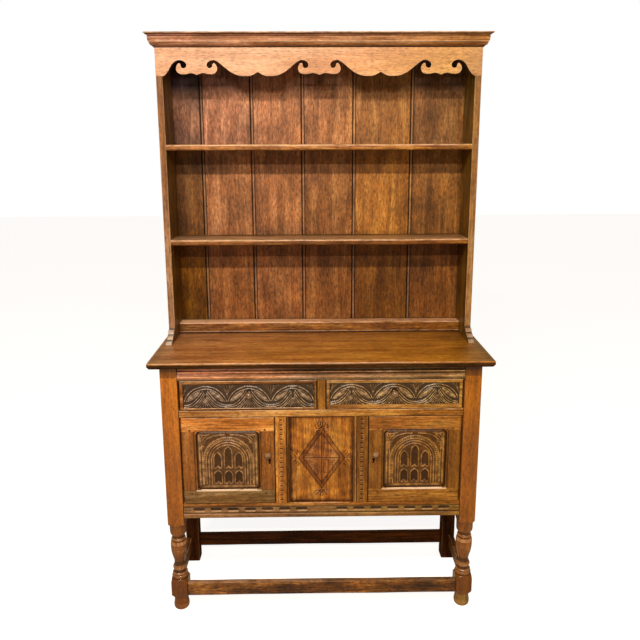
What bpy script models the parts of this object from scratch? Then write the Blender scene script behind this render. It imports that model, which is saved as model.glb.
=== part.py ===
"""Kitchen dresser in oak: an open plate rack standing on a cupboard base.

The base has turned front legs, stretchers near the floor, two drawers, a fixed carved panel and two
doors that turn on iron pins. Units are metres, +Z is up, the front faces -Y, and the origin lies on
the floor under the middle of the worktop.
"""

import math

import bmesh
import bpy
from mathutils import Vector

# General clearances
CLEAR = 0.0003           # between pieces that touch
CUT_PAST = 0.002         # how far a cutter runs past the wood that it opens

# Worktop and the height of the base
BASE_WIDTH = 1.015       # over the corner posts
BASE_DEPTH = 0.327       # front of the posts to the back of the rear legs
WORKTOP_HEIGHT = 0.8945
WORKTOP_THICKNESS = 0.020
WORKTOP_ROUND = 0.004    # upper edge
WORKTOP_UNDERCUT = 0.007 # chamfer under the edge
OVERHANG_SIDE = 0.0275
OVERHANG_FRONT = 0.053
OVERHANG_BACK = 0.035

# Legs and stretchers
POST = 0.055             # square of the front posts
REAR_LEG = 0.048         # square of the rear legs
POST_BELOW = 0.0345      # square of the front post under the cupboard
STRETCHER_BOTTOM = 0.053
STRETCHER_HEIGHT = 0.047
STRETCHER_THICKNESS = 0.018
STRETCHER_INSET = 0.009  # front and rear, behind the outer faces of the legs
SIDE_STRETCHER_INSET = 0.004
BLOCK_ABOVE = 0.018      # square block of the turned leg, past the stretchers
BLOCK_BELOW = 0.004
SHOULDER = 0.016         # length over which turning rounds the corners of a square
LEG_SIDES = 20

# Joiner's joints
TENON_LENGTH = 0.020
TENON_THICKNESS = 0.007
TENON_SHOULDER = 0.005   # above and below a tenon
SHORT_TENON = 0.006

# Front frame
FACE_INSET = 0.001       # rails, doors and drawers, behind the posts
FRAME_THICKNESS = 0.020
TOP_RAIL_HEIGHT = 0.0545
TOP_RAIL_RECESS = 0.006  # face of the rail above its bead
TOP_BEAD_HEIGHT = 0.020
TOP_BEAD_BELOW = 0.003
TOP_BEAD_PROUD = 0.007
DRAWER_OPENING = 0.100
DRAWER_RAIL_HEIGHT = 0.023
DRAWER_RAIL_DEPTH = 0.060
DIVIDER_WIDTH = 0.027
DOOR_OPENING = 0.3002    # between the drawer rail and the bottom rail
BOTTOM_RAIL_HEIGHT = 0.0502
MOULDING_HEIGHT = 0.0385
MOULDING_DEPTH = 0.009   # its rebate in the bottom rail
MOULDING_BEAD = 0.016
MOULDING_QUIRK = 0.002   # groove over the bead
BEAD_PROUD = 0.005
NOTCH_FIRST = 0.066      # middle of the first notch on each side
NOTCH_PITCH = 0.056
NOTCH_LENGTH = 0.040
NOTCH_HEIGHT = 0.015
NOTCH_LEDGE = 0.003      # its lower slope
NOTCH_DEPTH = 0.004
CENTRE_WIDTH = 0.200     # between the muntins
MUNTIN_WIDTH = 0.050
MUNTIN_CHAMFER = 0.004
PANEL_THICKNESS = 0.008
PANEL_TONGUE = 0.0077
CENTRE_PANEL_SETBACK = 0.007

# Carcass behind the frame
END_PANEL_THICKNESS = 0.014
END_PANEL_INSET = 0.006
END_PANEL_TONGUE = 0.008
BACK_THICKNESS = 0.010
BACK_TONGUE = 0.008
FLOOR_THICKNESS = 0.014
DOOR_STOP = 0.006        # floor board above the bottom rail
RUNNER_WIDTH = 0.022
RUNNER_THICKNESS = 0.020
GUIDE_HEIGHT = 0.014     # rib between the two drawers

# Drawers
DRAWER_GAP = 0.0015
DRAWER_GAP_POST = 0.004
DRAWER_FRONT_THICKNESS = 0.018
DRAWER_SIDE_THICKNESS = 0.010
DRAWER_SIDE_HEIGHT = 0.086
DRAWER_SIDE_INSET = 0.001
DRAWER_SIDE_TONGUE = 0.006
DRAWER_BACK_SPACE = 0.012
DRAWER_BOTTOM_THICKNESS = 0.006
DRAWER_BOTTOM_UP = 0.008
DRAWER_BOTTOM_TONGUE = 0.004
FIELD_DEPTH = 0.003      # carved field below the face
FIELD_SIDE = 0.012
FIELD_TOP = 0.011
FIELD_BOTTOM = {"left": 0.007, "right": 0.016}
DRAWER_KNOB_RADIUS = 0.011
DRAWER_KNOB_RISE = 0.054 # above the lower edge of the drawer front

# Doors
DOOR_GAP = 0.0015
DOOR_THICKNESS = 0.020
STILE_LOCK = 0.0485
STILE_HANGING = 0.0470
DOOR_RAIL_BOTTOM = 0.048
DOOR_RAIL_TOP = 0.047
DOOR_CHAMFER = 0.005
DOOR_PANEL_SETBACK = 0.007
FIELD_RISE = 0.0055      # raised field of the door panel
FIELD_GROOVE = 0.008     # sunk margin round the field
DOOR_KNOB_RADIUS = 0.0105
DOOR_KNOB_IN = 0.021     # from the closing edge
DOOR_KNOB_RISE = 0.175   # above the lower edge of the door
PIN_RADIUS = 0.003
PIN_IN_DOOR = 0.014
PIN_IN_RAIL = 0.008
PIN_COLLAR_RADIUS = 0.006
PIN_SIDES = 16

# Locks
LOCK_BELOW_KNOB = 0.028
LOCK_WIDTH = 0.034
LOCK_HEIGHT = 0.044
LOCK_THICKNESS = 0.008
LOCK_EDGE = 0.003        # wood between the lock and the closing edge
BOLT_HEIGHT = 0.010
BOLT_THICKNESS = 0.004
BOLT_LENGTH = 0.026
BOLT_BACK = 0.0005       # nose of the drawn bolt behind the door's edge
BOLT_MORTISE = 0.010
KEYHOLE_IN = 0.0165
KEYHOLE_RADIUS = 0.0024
KEY_SLOT_WIDTH = 0.0024
KEY_SLOT_DROP = 0.007

# Plate rack
RACK_HEIGHT = 0.9915     # worktop to the top of the cornice
RACK_DEPTH = 0.1565
RACK_INSET_SIDE = 0.0203
RACK_INSET_BACK = 0.002
SIDE_THICKNESS = 0.0205
SHELF_THICKNESS = 0.019
SHELF_TOPS = {"lower": 0.3435, "upper": 0.6522}   # above the worktop
SHELF_TONGUE = 0.006
SHELF_STOP = 0.010       # the housing stops behind the front edge
PLATE_GROOVE_BACK = 0.030
PLATE_GROOVE_WIDTH = 0.006
PLATE_GROOVE_DEPTH = 0.0025
BACKBOARD_THICKNESS = 0.012
BACKBOARD_REBATE = 0.010
BACKBOARD_SHARES = (0.1015, 0.1725, 0.175, 0.178, 0.200, 0.173)
BOARD_TONGUE = 0.005
BOARD_BEAD = 0.007
BOARD_QUIRK = 0.0016
RACK_RAIL_HEIGHT = 0.038
RACK_RAIL_DEPTH = 0.055
RACK_RAIL_STEP = 0.0055
RACK_RAIL_SOFT = 0.0025
TOP_BOARD_THICKNESS = 0.016
FOOT_HEIGHT = 0.041      # scrolled foot of a rack side
FOOT_LENGTH = 0.062
FOOT_LOBES = 3
FOOT_STEP = 0.002        # flat between two lobes

# Cornice and frieze
CORNICE_HEIGHT = 0.0425
CORNICE_PROUD = 0.0270
FRIEZE_HEIGHT = 0.0865   # under the cornice
FRIEZE_THICKNESS = 0.015
FRIEZE_PROUD = 0.001
SCROLL_RISE = 0.0335     # centre of a scroll above the lowest edge
SCROLL_EYE = 0.0074      # radius of the round end
SCROLL_PAIR_OUT = 0.082  # between the two scrolls of an outer pair
SCROLL_PAIR_MID = 0.087  # between the two scrolls in the middle
SCROLL_FROM_SIDE = 0.0675
SWAG_CUSP = 0.0125       # middle point of a swag above its lowest edge

# Positions that follow from the sizes
WORKTOP_WIDTH = BASE_WIDTH + 2 * OVERHANG_SIDE
WORKTOP_DEPTH = BASE_DEPTH + OVERHANG_FRONT + OVERHANG_BACK
WORKTOP_FRONT = -WORKTOP_DEPTH / 2
WORKTOP_BACK = WORKTOP_DEPTH / 2
CARCASS_TOP = WORKTOP_HEIGHT - WORKTOP_THICKNESS - CLEAR
POST_OUT = BASE_WIDTH / 2
POST_IN = POST_OUT - POST
POST_FRONT = WORKTOP_FRONT + OVERHANG_FRONT
POST_BACK = POST_FRONT + POST
REAR_BACK = POST_FRONT + BASE_DEPTH
REAR_FRONT = REAR_BACK - REAR_LEG
REAR_IN = POST_OUT - REAR_LEG
FACE = POST_FRONT + FACE_INSET
FRAME_BACK = FACE + FRAME_THICKNESS
TENON_FRONT = FACE + FRAME_THICKNESS / 2
TOP_RAIL_BOTTOM = CARCASS_TOP - TOP_RAIL_HEIGHT
DRAWER_RAIL_TOP = TOP_RAIL_BOTTOM - DRAWER_OPENING
DRAWER_RAIL_BOTTOM = DRAWER_RAIL_TOP - DRAWER_RAIL_HEIGHT
BOTTOM_RAIL_TOP = DRAWER_RAIL_BOTTOM - DOOR_OPENING
BASE_BOTTOM = BOTTOM_RAIL_TOP - BOTTOM_RAIL_HEIGHT
STRETCHER_TOP = STRETCHER_BOTTOM + STRETCHER_HEIGHT
MUNTIN_IN = CENTRE_WIDTH / 2
MUNTIN_OUT = MUNTIN_IN + MUNTIN_WIDTH
BACK_FRONT = REAR_BACK - BACK_THICKNESS
RACK_TOP = WORKTOP_HEIGHT + RACK_HEIGHT
RACK_OUT = WORKTOP_WIDTH / 2 - RACK_INSET_SIDE
RACK_IN = RACK_OUT - SIDE_THICKNESS
RACK_BACK = WORKTOP_BACK - RACK_INSET_BACK
RACK_FRONT = RACK_BACK - RACK_DEPTH
RACK_FOOT = WORKTOP_HEIGHT + CLEAR
BACKBOARD_FRONT = RACK_BACK - BACKBOARD_THICKNESS
CORNICE_BOTTOM = RACK_TOP - CORNICE_HEIGHT
FRIEZE_BOTTOM = CORNICE_BOTTOM - FRIEZE_HEIGHT
FRIEZE_FRONT = RACK_FRONT - FRIEZE_PROUD
FRIEZE_BACK = FRIEZE_FRONT + FRIEZE_THICKNESS
SIDES = ((-1, "left"), (1, "right"))


# Materials

def finish(name, colour, roughness, metallic=0.0):
    """A plain surface; the colour is linear red, green and blue."""
    material = bpy.data.materials.new(name)
    material.use_nodes = True
    shader = material.node_tree.nodes["Principled BSDF"]
    shader.inputs["Base Color"].default_value = (*colour, 1.0)
    shader.inputs["Roughness"].default_value = roughness
    shader.inputs["Metallic"].default_value = metallic
    return material


# Building blocks

def mesh_object(name, bm, material=None):
    """Closes a bmesh into an object whose faces point out."""
    bmesh.ops.recalc_face_normals(bm, faces=bm.faces)
    mesh = bpy.data.meshes.new(name)
    bm.to_mesh(mesh)
    bm.free()
    piece = bpy.data.objects.new(name, mesh)
    bpy.context.scene.collection.objects.link(piece)
    if material:
        mesh.materials.append(material)
    return piece


def add_box(bm, low, high):
    corners = [
        bm.verts.new((x, y, z))
        for z in (low[2], high[2])
        for y in (low[1], high[1])
        for x in (low[0], high[0])
    ]
    for face in ((0, 2, 3, 1), (4, 5, 7, 6), (0, 1, 5, 4), (2, 6, 7, 3), (0, 4, 6, 2), (1, 3, 7, 5)):
        bm.faces.new([corners[i] for i in face])


def box(name, low, high, material=None):
    bm = bmesh.new()
    add_box(bm, low, high)
    return mesh_object(name, bm, material)


def prism(name, outline, axis, start, end, material=None):
    """Extrudes a closed outline along an axis. The outline's two numbers are the other two axes."""
    places = {
        "x": lambda a, b, along: (along, a, b),
        "y": lambda a, b, along: (a, along, b),
        "z": lambda a, b, along: (a, b, along),
    }
    place = places[axis]
    bm = bmesh.new()
    first = [bm.verts.new(place(a, b, start)) for a, b in outline]
    last = [bm.verts.new(place(a, b, end)) for a, b in outline]
    bm.faces.new(first)
    bm.faces.new(list(reversed(last)))
    count = len(outline)
    for i in range(count):
        j = (i + 1) % count
        bm.faces.new((first[i], first[j], last[j], last[i]))
    return mesh_object(name, bm, material)


def turned(name, profile, centre, axis, sides, material=None):
    """Turns a profile of (radius, height) about an axis through centre. Both ends are flat."""
    centre = Vector(centre)
    bm = bmesh.new()
    rings = []
    for radius, height in profile:
        ring = []
        for i in range(sides):
            angle = 2 * math.pi * (i + 0.5) / sides
            a = radius * math.cos(angle)
            b = radius * math.sin(angle)
            offset = Vector((a, b, height)) if axis == "z" else Vector((a, height, b))
            ring.append(bm.verts.new(centre + offset))
        rings.append(ring)
    for lower, upper in zip(rings, rings[1:]):
        for i in range(sides):
            j = (i + 1) % sides
            bm.faces.new((lower[i], lower[j], upper[j], upper[i]))
    bm.faces.new(rings[0])
    bm.faces.new(rings[-1])
    piece = mesh_object(name, bm, material)
    piece.data.shade_smooth()
    piece.data.set_sharp_from_angle(angle=math.radians(40))
    return piece


def guide(piece):
    """Marks a helper shape that only cuts or joins."""
    piece.hide_render = True
    piece.display_type = "WIRE"
    return piece


def shape_with(target, helper, operation):
    step = target.modifiers.new(helper.name, "BOOLEAN")
    step.operation = operation
    step.solver = "EXACT"
    step.object = guide(helper)


def join(target, *helpers):
    for helper in helpers:
        shape_with(target, helper, "UNION")


def cut(target, *helpers):
    for helper in helpers:
        shape_with(target, helper, "DIFFERENCE")


def grown(name, low, high, by=CLEAR):
    """The space that a tongue or tenon needs."""
    return box(name, [a - by for a in low], [a + by for a in high])


def arc(centre, radii, start, end, steps):
    """Points on an ellipse; angles in degrees, both ends included."""
    points = []
    for i in range(steps + 1):
        angle = math.radians(start + (end - start) * i / steps)
        points.append((centre[0] + radii[0] * math.cos(angle), centre[1] + radii[1] * math.sin(angle)))
    return points


def flowing(points, steps):
    """A smooth curve through all the points."""
    ends = [points[0], *points, points[-1]]
    curve = []
    for p0, p1, p2, p3 in zip(ends, ends[1:], ends[2:], ends[3:]):
        for i in range(steps):
            t = i / steps
            curve.append(tuple(
                0.5 * (2 * b + (c - a) * t + (2 * a - 5 * b + 4 * c - d) * t * t
                       + (3 * b - a - 3 * c + d) * t ** 3)
                for a, b, c, d in zip(p0, p1, p2, p3)
            ))
    curve.append(points[-1])
    return curve


def mirrored(points):
    return [(-x, z) for x, z in reversed(points)]


def across(side, near, far):
    """Low and high x of a piece on the left (-1) or right (+1), measured from the middle."""
    return (near, far) if side > 0 else (-far, -near)


# Where the tongues and tenons lie: each is a bar that runs through its own piece

def tenon_bar(bottom, top, front, inner=POST_IN):
    reach = inner + TENON_LENGTH
    return (
        (-reach, front, bottom + TENON_SHOULDER),
        (reach, front + TENON_THICKNESS, top - TENON_SHOULDER),
    )


FRONT_STRETCHER_FRONT = POST_FRONT + STRETCHER_INSET
REAR_STRETCHER_FRONT = REAR_BACK - STRETCHER_INSET - STRETCHER_THICKNESS
STRETCHER_TENON = (STRETCHER_THICKNESS - TENON_THICKNESS) / 2
FRONT_TENONS = {
    "top_rail": tenon_bar(TOP_RAIL_BOTTOM, CARCASS_TOP, TENON_FRONT),
    "drawer_rail": tenon_bar(DRAWER_RAIL_BOTTOM, DRAWER_RAIL_TOP, TENON_FRONT),
    "bottom_rail": tenon_bar(BASE_BOTTOM, BOTTOM_RAIL_TOP - TENON_SHOULDER, TENON_FRONT),
    "front_stretcher": tenon_bar(STRETCHER_BOTTOM, STRETCHER_TOP, FRONT_STRETCHER_FRONT + STRETCHER_TENON),
}
REAR_TENON = tenon_bar(STRETCHER_BOTTOM, STRETCHER_TOP, REAR_STRETCHER_FRONT + STRETCHER_TENON, REAR_IN)


def side_stretcher_tenon(side):
    near = POST_OUT - SIDE_STRETCHER_INSET - STRETCHER_THICKNESS + STRETCHER_TENON
    x0, x1 = across(side, near, near + TENON_THICKNESS)
    low = (x0, POST_BACK - TENON_LENGTH, STRETCHER_BOTTOM + TENON_SHOULDER)
    high = (x1, REAR_FRONT + TENON_LENGTH, STRETCHER_TOP - TENON_SHOULDER)
    return low, high


def end_panel_space(side):
    outer = POST_OUT - END_PANEL_INSET
    x0, x1 = across(side, outer - END_PANEL_THICKNESS, outer)
    low = (x0, POST_BACK - END_PANEL_TONGUE, BASE_BOTTOM)
    high = (x1, REAR_FRONT + END_PANEL_TONGUE, CARCASS_TOP)
    return low, high


# Worktop and legs

def make_worktop(material):
    half = WORKTOP_WIDTH / 2
    piece = box(
        "worktop",
        (-half, WORKTOP_FRONT, CARCASS_TOP + CLEAR),
        (half, WORKTOP_BACK, WORKTOP_HEIGHT),
        material,
    )
    bm = bmesh.new()
    bm.from_mesh(piece.data)

    def shown_edges(height):
        """The edges at this height along the front and the two ends."""
        found = []
        for edge in bm.edges:
            a, b = (vert.co for vert in edge.verts)
            level = abs(a.z - height) < CLEAR and abs(b.z - height) < CLEAR
            at_back = a.y > 0 and b.y > 0
            if level and not at_back:
                found.append(edge)
        return found

    bmesh.ops.bevel(
        bm, geom=shown_edges(WORKTOP_HEIGHT), offset=WORKTOP_ROUND, segments=3, profile=0.5, affect="EDGES"
    )
    bmesh.ops.bevel(
        bm, geom=shown_edges(CARCASS_TOP + CLEAR), offset=WORKTOP_UNDERCUT, segments=1, affect="EDGES"
    )
    bm.to_mesh(piece.data)
    bm.free()


def leg_profile():
    """The turned front leg from the floor up, as (radius, height)."""
    half = POST / 2
    block_bottom = STRETCHER_BOTTOM - BLOCK_BELOW
    block_top = STRETCHER_TOP + BLOCK_ABOVE
    square_bottom = BASE_BOTTOM - POST_BELOW
    length = square_bottom - block_top

    def bead(low, high, core, full):
        """A rounded ring between two heights."""
        return [
            (core + (full - core) * math.sin(math.pi * i / 4), low + (high - low) * i / 4) for i in range(5)
        ]

    # The bun foot, in shares of half the post and of the height of the block's underside
    foot = flowing([(0.73, 0.0), (0.90, 0.11), (0.94, 0.30), (0.87, 0.57), (0.84, 0.80), (0.86, 1.0)], 2)
    profile = [(r * half, h * block_bottom) for r, h in foot]

    # Hidden inside the block
    profile += [(0.80 * half, block_bottom + BLOCK_BELOW), (0.80 * half, block_top - SHOULDER)]

    # From the block to the square, in shares of half the post and of the height between the two
    vase = [(0.64, 0.315), (0.73, 0.371), (0.83, 0.423), (0.92, 0.485), (0.975, 0.580), (0.97, 0.650)]
    bowl = [(0.71, 0.790), (0.86, 0.822), (0.96, 0.850), (0.99, 0.90)]
    turning = [(0.90, 0.0), *bead(0.006, 0.056, 0.91, 0.99), (0.88, 0.062), *bead(0.066, 0.108, 0.80, 0.91)]
    turning += [(0.73, 0.116), (0.72, 0.134), *bead(0.142, 0.244, 0.70, 0.83), (0.64, 0.262)]
    turning += flowing(vase, 2)
    turning += [(0.91, 0.696), (0.84, 0.704), *bead(0.710, 0.762, 0.76, 0.86), (0.71, 0.772)]
    turning += flowing(bowl, 2)
    turning.append((0.99, 1.0))
    profile += [(r * half, block_top + h * length) for r, h in turning]
    profile.append((0.90 * half, square_bottom + POST_BELOW / 2))
    return profile


def round_shoulders(square, name, middle, bottom, top, ends):
    """Rounds the corners of a square post off at its ends, as the lathe leaves them."""
    half = POST / 2
    rise = [(0.98, 0.0), (1.13, 0.22), (1.28, 0.50), (1.50, 1.0)]
    rise.insert(0, (0.98, -CUT_PAST / SHOULDER))
    low = [(r * half, bottom + h * SHOULDER) for r, h in rise]
    high = [(r * half, top - h * SHOULDER) for r, h in reversed(rise)]
    if "bottom" not in ends:
        low = [(low[-1][0], bottom - CUT_PAST)]
    if "top" not in ends:
        high = [(high[0][0], top + CUT_PAST)]
    shape_with(square, turned(name, low + high, middle, "z", LEG_SIDES), "INTERSECT")


def make_front_leg(side, word, material):
    x0, x1 = across(side, POST_IN, POST_OUT)
    square_bottom = BASE_BOTTOM - POST_BELOW
    name = f"front_leg_{word}"
    piece = box(name, (x0, POST_FRONT, square_bottom), (x1, POST_BACK, CARCASS_TOP), material)
    middle = ((x0 + x1) / 2, (POST_FRONT + POST_BACK) / 2, 0)
    round_shoulders(piece, f"{name}_post_shoulders", middle, square_bottom, CARCASS_TOP, ("bottom",))
    turning = turned(f"{name}_turning", leg_profile(), middle, "z", LEG_SIDES)
    block_bottom = STRETCHER_BOTTOM - BLOCK_BELOW
    block_top = STRETCHER_TOP + BLOCK_ABOVE
    block = box(f"{name}_block", (x0, POST_FRONT, block_bottom), (x1, POST_BACK, block_top))
    round_shoulders(block, f"{name}_block_shoulders", middle, block_bottom, block_top, ("bottom", "top"))
    join(piece, turning, block)
    for rail, (low, high) in FRONT_TENONS.items():
        cut(piece, grown(f"{name}_{rail}_mortise", low, high))
    cut(piece, grown(f"{name}_side_mortise", *side_stretcher_tenon(side)))
    low, high = end_panel_space(side)
    cut(piece, grown(f"{name}_groove", low, (high[0], high[1], high[2] + CUT_PAST)))


def make_rear_leg(side, word, material):
    x0, x1 = across(side, REAR_IN, POST_OUT)
    name = f"rear_leg_{word}"
    piece = box(name, (x0, REAR_FRONT, 0), (x1, REAR_BACK, CARCASS_TOP), material)
    cut(piece, grown(f"{name}_mortise", *REAR_TENON))
    cut(piece, grown(f"{name}_side_mortise", *side_stretcher_tenon(side)))
    low, high = end_panel_space(side)
    cut(piece, grown(f"{name}_groove", low, (high[0], high[1], high[2] + CUT_PAST)))
    x0, x1 = across(side, REAR_IN - CUT_PAST, REAR_IN + BACK_TONGUE)
    rebate = box(
        f"{name}_rebate",
        (x0, BACK_FRONT - CLEAR, BASE_BOTTOM - CLEAR),
        (x1, REAR_BACK + CUT_PAST, CARCASS_TOP + CUT_PAST),
    )
    cut(piece, rebate)


# Stretchers, rails and muntins

def make_stretchers(material):
    for name, front, inner, tenon in (
        ("front_stretcher", FRONT_STRETCHER_FRONT, POST_IN, FRONT_TENONS["front_stretcher"]),
        ("rear_stretcher", REAR_STRETCHER_FRONT, REAR_IN, REAR_TENON),
    ):
        reach = inner - CLEAR
        piece = box(
            name,
            (-reach, front, STRETCHER_BOTTOM),
            (reach, front + STRETCHER_THICKNESS, STRETCHER_TOP),
            material,
        )
        join(piece, box(f"{name}_tenons", *tenon))
    for side, word in SIDES:
        outer = POST_OUT - SIDE_STRETCHER_INSET
        x0, x1 = across(side, outer - STRETCHER_THICKNESS, outer)
        name = f"side_stretcher_{word}"
        piece = box(
            name,
            (x0, POST_BACK + CLEAR, STRETCHER_BOTTOM),
            (x1, REAR_FRONT - CLEAR, STRETCHER_TOP),
            material,
        )
        join(piece, box(f"{name}_tenons", *side_stretcher_tenon(side)))


def centre_panel_space():
    front = FACE + CENTRE_PANEL_SETBACK
    half = MUNTIN_IN + PANEL_TONGUE
    low = (-half, front, BOTTOM_RAIL_TOP - PANEL_TONGUE)
    high = (half, front + PANEL_THICKNESS, DRAWER_RAIL_BOTTOM + PANEL_TONGUE)
    return low, high


def upright_tenons(near, far, bottom, top, length):
    """The bar through an upright whose short tenons enter the rails above and below it."""
    inset = (far - near) / 5
    front = FACE + (FRAME_THICKNESS - PANEL_THICKNESS) / 2
    return (
        (near + inset, front, bottom - length),
        (far - inset, front + PANEL_THICKNESS, top + length),
    )


def muntin_tenons(side):
    near, far = across(side, MUNTIN_IN, MUNTIN_OUT)
    return upright_tenons(near, far, BOTTOM_RAIL_TOP, DRAWER_RAIL_BOTTOM, SHORT_TENON)


def divider_tenons():
    half = DIVIDER_WIDTH / 2
    return upright_tenons(-half, half, DRAWER_RAIL_TOP, TOP_RAIL_BOTTOM, SHORT_TENON)


def make_top_rail(material):
    bottom = TOP_RAIL_BOTTOM
    middle = bottom + TOP_BEAD_BELOW + TOP_BEAD_HEIGHT / 2
    outline = [(FRAME_BACK, bottom), (FACE, bottom)]
    outline += arc((FACE, middle), (TOP_BEAD_PROUD, TOP_BEAD_HEIGHT / 2), 270, 90, 8)
    outline += [
        (FACE + TOP_RAIL_RECESS, middle + TOP_BEAD_HEIGHT / 2),
        (FACE + TOP_RAIL_RECESS, CARCASS_TOP),
        (FRAME_BACK, CARCASS_TOP),
    ]
    reach = POST_IN - CLEAR
    piece = prism("top_rail", outline, "x", -reach, reach, material)
    join(piece, box("top_rail_tenons", *FRONT_TENONS["top_rail"]))
    cut(piece, grown("top_rail_mortise", *divider_tenons()))


def make_drawer_rail(material):
    reach = POST_IN - CLEAR
    piece = box(
        "drawer_rail",
        (-reach, FACE, DRAWER_RAIL_BOTTOM),
        (reach, FACE + DRAWER_RAIL_DEPTH, DRAWER_RAIL_TOP),
        material,
    )
    join(piece, box("drawer_rail_tenons", *FRONT_TENONS["drawer_rail"]))
    cut(piece, grown("drawer_rail_divider_mortise", *divider_tenons()))
    cut(piece, grown("drawer_rail_groove", *centre_panel_space()))
    for side, word in SIDES:
        cut(piece, grown(f"drawer_rail_mortise_{word}", *muntin_tenons(side)))
        cut(piece, pin_hole(f"drawer_rail_pin_hole_{word}", side, "top"))


def make_bottom_rail(material):
    step = BASE_BOTTOM + MOULDING_HEIGHT
    outline = [
        (FRAME_BACK, BASE_BOTTOM),
        (FACE + MOULDING_DEPTH, BASE_BOTTOM),
        (FACE + MOULDING_DEPTH, step),
        (FACE, step),
        (FACE, BOTTOM_RAIL_TOP),
        (FRAME_BACK, BOTTOM_RAIL_TOP),
    ]
    reach = POST_IN - CLEAR
    piece = prism("bottom_rail", outline, "x", -reach, reach, material)
    join(piece, box("bottom_rail_tenons", *FRONT_TENONS["bottom_rail"]))
    cut(piece, grown("bottom_rail_groove", *centre_panel_space()))
    for side, word in SIDES:
        cut(piece, grown(f"bottom_rail_mortise_{word}", *muntin_tenons(side)))
        cut(piece, pin_hole(f"bottom_rail_pin_hole_{word}", side, "bottom"))


def make_bottom_moulding(material):
    """Bead below, notched band above, planted in the rebate of the bottom rail."""
    back = FACE + MOULDING_DEPTH - CLEAR
    top = BASE_BOTTOM + MOULDING_HEIGHT - CLEAR
    quirk = BASE_BOTTOM + MOULDING_BEAD
    outline = [(back, BASE_BOTTOM)]
    outline += arc((FACE, (BASE_BOTTOM + quirk) / 2), (BEAD_PROUD, MOULDING_BEAD / 2), 270, 90, 8)
    band = quirk + MOULDING_QUIRK
    outline += [(FACE + MOULDING_QUIRK, (quirk + band) / 2), (FACE, band), (FACE, top), (back, top)]
    reach = POST_IN - CLEAR
    piece = prism("bottom_moulding", outline, "x", -reach, reach, material)

    # Gouged notches on both sides of a plain middle, each with a lower slope that catches light
    count = 1 + int((reach - NOTCH_FIRST - NOTCH_LENGTH / 2) / NOTCH_PITCH)
    low = (band + top - NOTCH_HEIGHT) / 2
    gouge = [(FACE - CUT_PAST, low), (FACE, low), (FACE + NOTCH_DEPTH, low + NOTCH_LEDGE)]
    gouge += [(FACE, low + NOTCH_HEIGHT), (FACE - CUT_PAST, low + NOTCH_HEIGHT)]
    for side, word in SIDES:
        for i in range(count):
            middle = side * (NOTCH_FIRST + i * NOTCH_PITCH)
            start = middle - NOTCH_LENGTH / 2
            name = f"bottom_moulding_notch_{word}_{i + 1}"
            cut(piece, prism(name, gouge, "x", start, start + NOTCH_LENGTH))


def make_divider(material):
    half = DIVIDER_WIDTH / 2
    piece = box(
        "drawer_divider",
        (-half, FACE, DRAWER_RAIL_TOP + CLEAR),
        (half, FRAME_BACK, TOP_RAIL_BOTTOM - CLEAR),
        material,
    )
    join(piece, box("drawer_divider_tenons", *divider_tenons()))


def make_muntin(side, word, material):
    bottom = BOTTOM_RAIL_TOP + CLEAR
    top = DRAWER_RAIL_BOTTOM - CLEAR
    outline = [
        (side * MUNTIN_OUT, FACE),
        (side * (MUNTIN_IN + MUNTIN_CHAMFER), FACE),
        (side * MUNTIN_IN, FACE + MUNTIN_CHAMFER),
        (side * MUNTIN_IN, FRAME_BACK),
        (side * MUNTIN_OUT, FRAME_BACK),
    ]
    piece = prism(f"muntin_{word}", outline, "z", bottom, top, material)
    join(piece, box(f"muntin_{word}_tenons", *muntin_tenons(side)))
    cut(piece, grown(f"muntin_{word}_groove", *centre_panel_space()))
    low, high = bolt_space(side, BOLT_MORTISE + DOOR_GAP)
    cut(piece, grown(f"muntin_{word}_bolt_mortise", low, high))


def make_carcass(materials):
    low, high = centre_panel_space()
    box("centre_panel", low, high, materials["honey_oak"])
    for side, word in SIDES:
        box(f"end_panel_{word}", *end_panel_space(side), materials["brown_oak"])
    half = REAR_IN + BACK_TONGUE - CLEAR
    box("base_back", (-half, BACK_FRONT, BASE_BOTTOM), (half, REAR_BACK, CARCASS_TOP), materials["raw_oak"])

    # Cupboard floor, notched round the four legs
    top = BOTTOM_RAIL_TOP + DOOR_STOP
    wide = POST_OUT - END_PANEL_INSET - END_PANEL_THICKNESS - CLEAR
    narrow = POST_IN - CLEAR
    rear = REAR_IN - CLEAR
    front = FRAME_BACK + CLEAR
    back = BACK_FRONT - CLEAR
    right_half = [
        (narrow, front), (narrow, POST_BACK + CLEAR), (wide, POST_BACK + CLEAR),
        (wide, REAR_FRONT - CLEAR), (rear, REAR_FRONT - CLEAR), (rear, back),
    ]
    outline = right_half + mirrored(right_half)
    prism("cupboard_floor", outline, "z", top - FLOOR_THICKNESS, top, materials["raw_oak"])

    # Drawer runners
    runner_front = FACE + DRAWER_RAIL_DEPTH + CLEAR
    bottom = DRAWER_RAIL_TOP - RUNNER_THICKNESS
    for side, word in SIDES:
        x0, x1 = across(side, POST_IN - RUNNER_WIDTH, POST_IN - CLEAR)
        box(
            f"drawer_runner_{word}",
            (x0, runner_front, bottom),
            (x1, back, DRAWER_RAIL_TOP),
            materials["raw_oak"],
        )
    rib = DIVIDER_WIDTH / 2
    foot = rib + RUNNER_WIDTH
    outline = [
        (-foot, bottom), (foot, bottom), (foot, DRAWER_RAIL_TOP), (rib, DRAWER_RAIL_TOP),
        (rib, DRAWER_RAIL_TOP + GUIDE_HEIGHT), (-rib, DRAWER_RAIL_TOP + GUIDE_HEIGHT),
        (-rib, DRAWER_RAIL_TOP), (-foot, DRAWER_RAIL_TOP),
    ]
    prism("drawer_runner_centre", outline, "y", runner_front, back, materials["raw_oak"])


# Knobs, shared by the drawers and the doors

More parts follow.
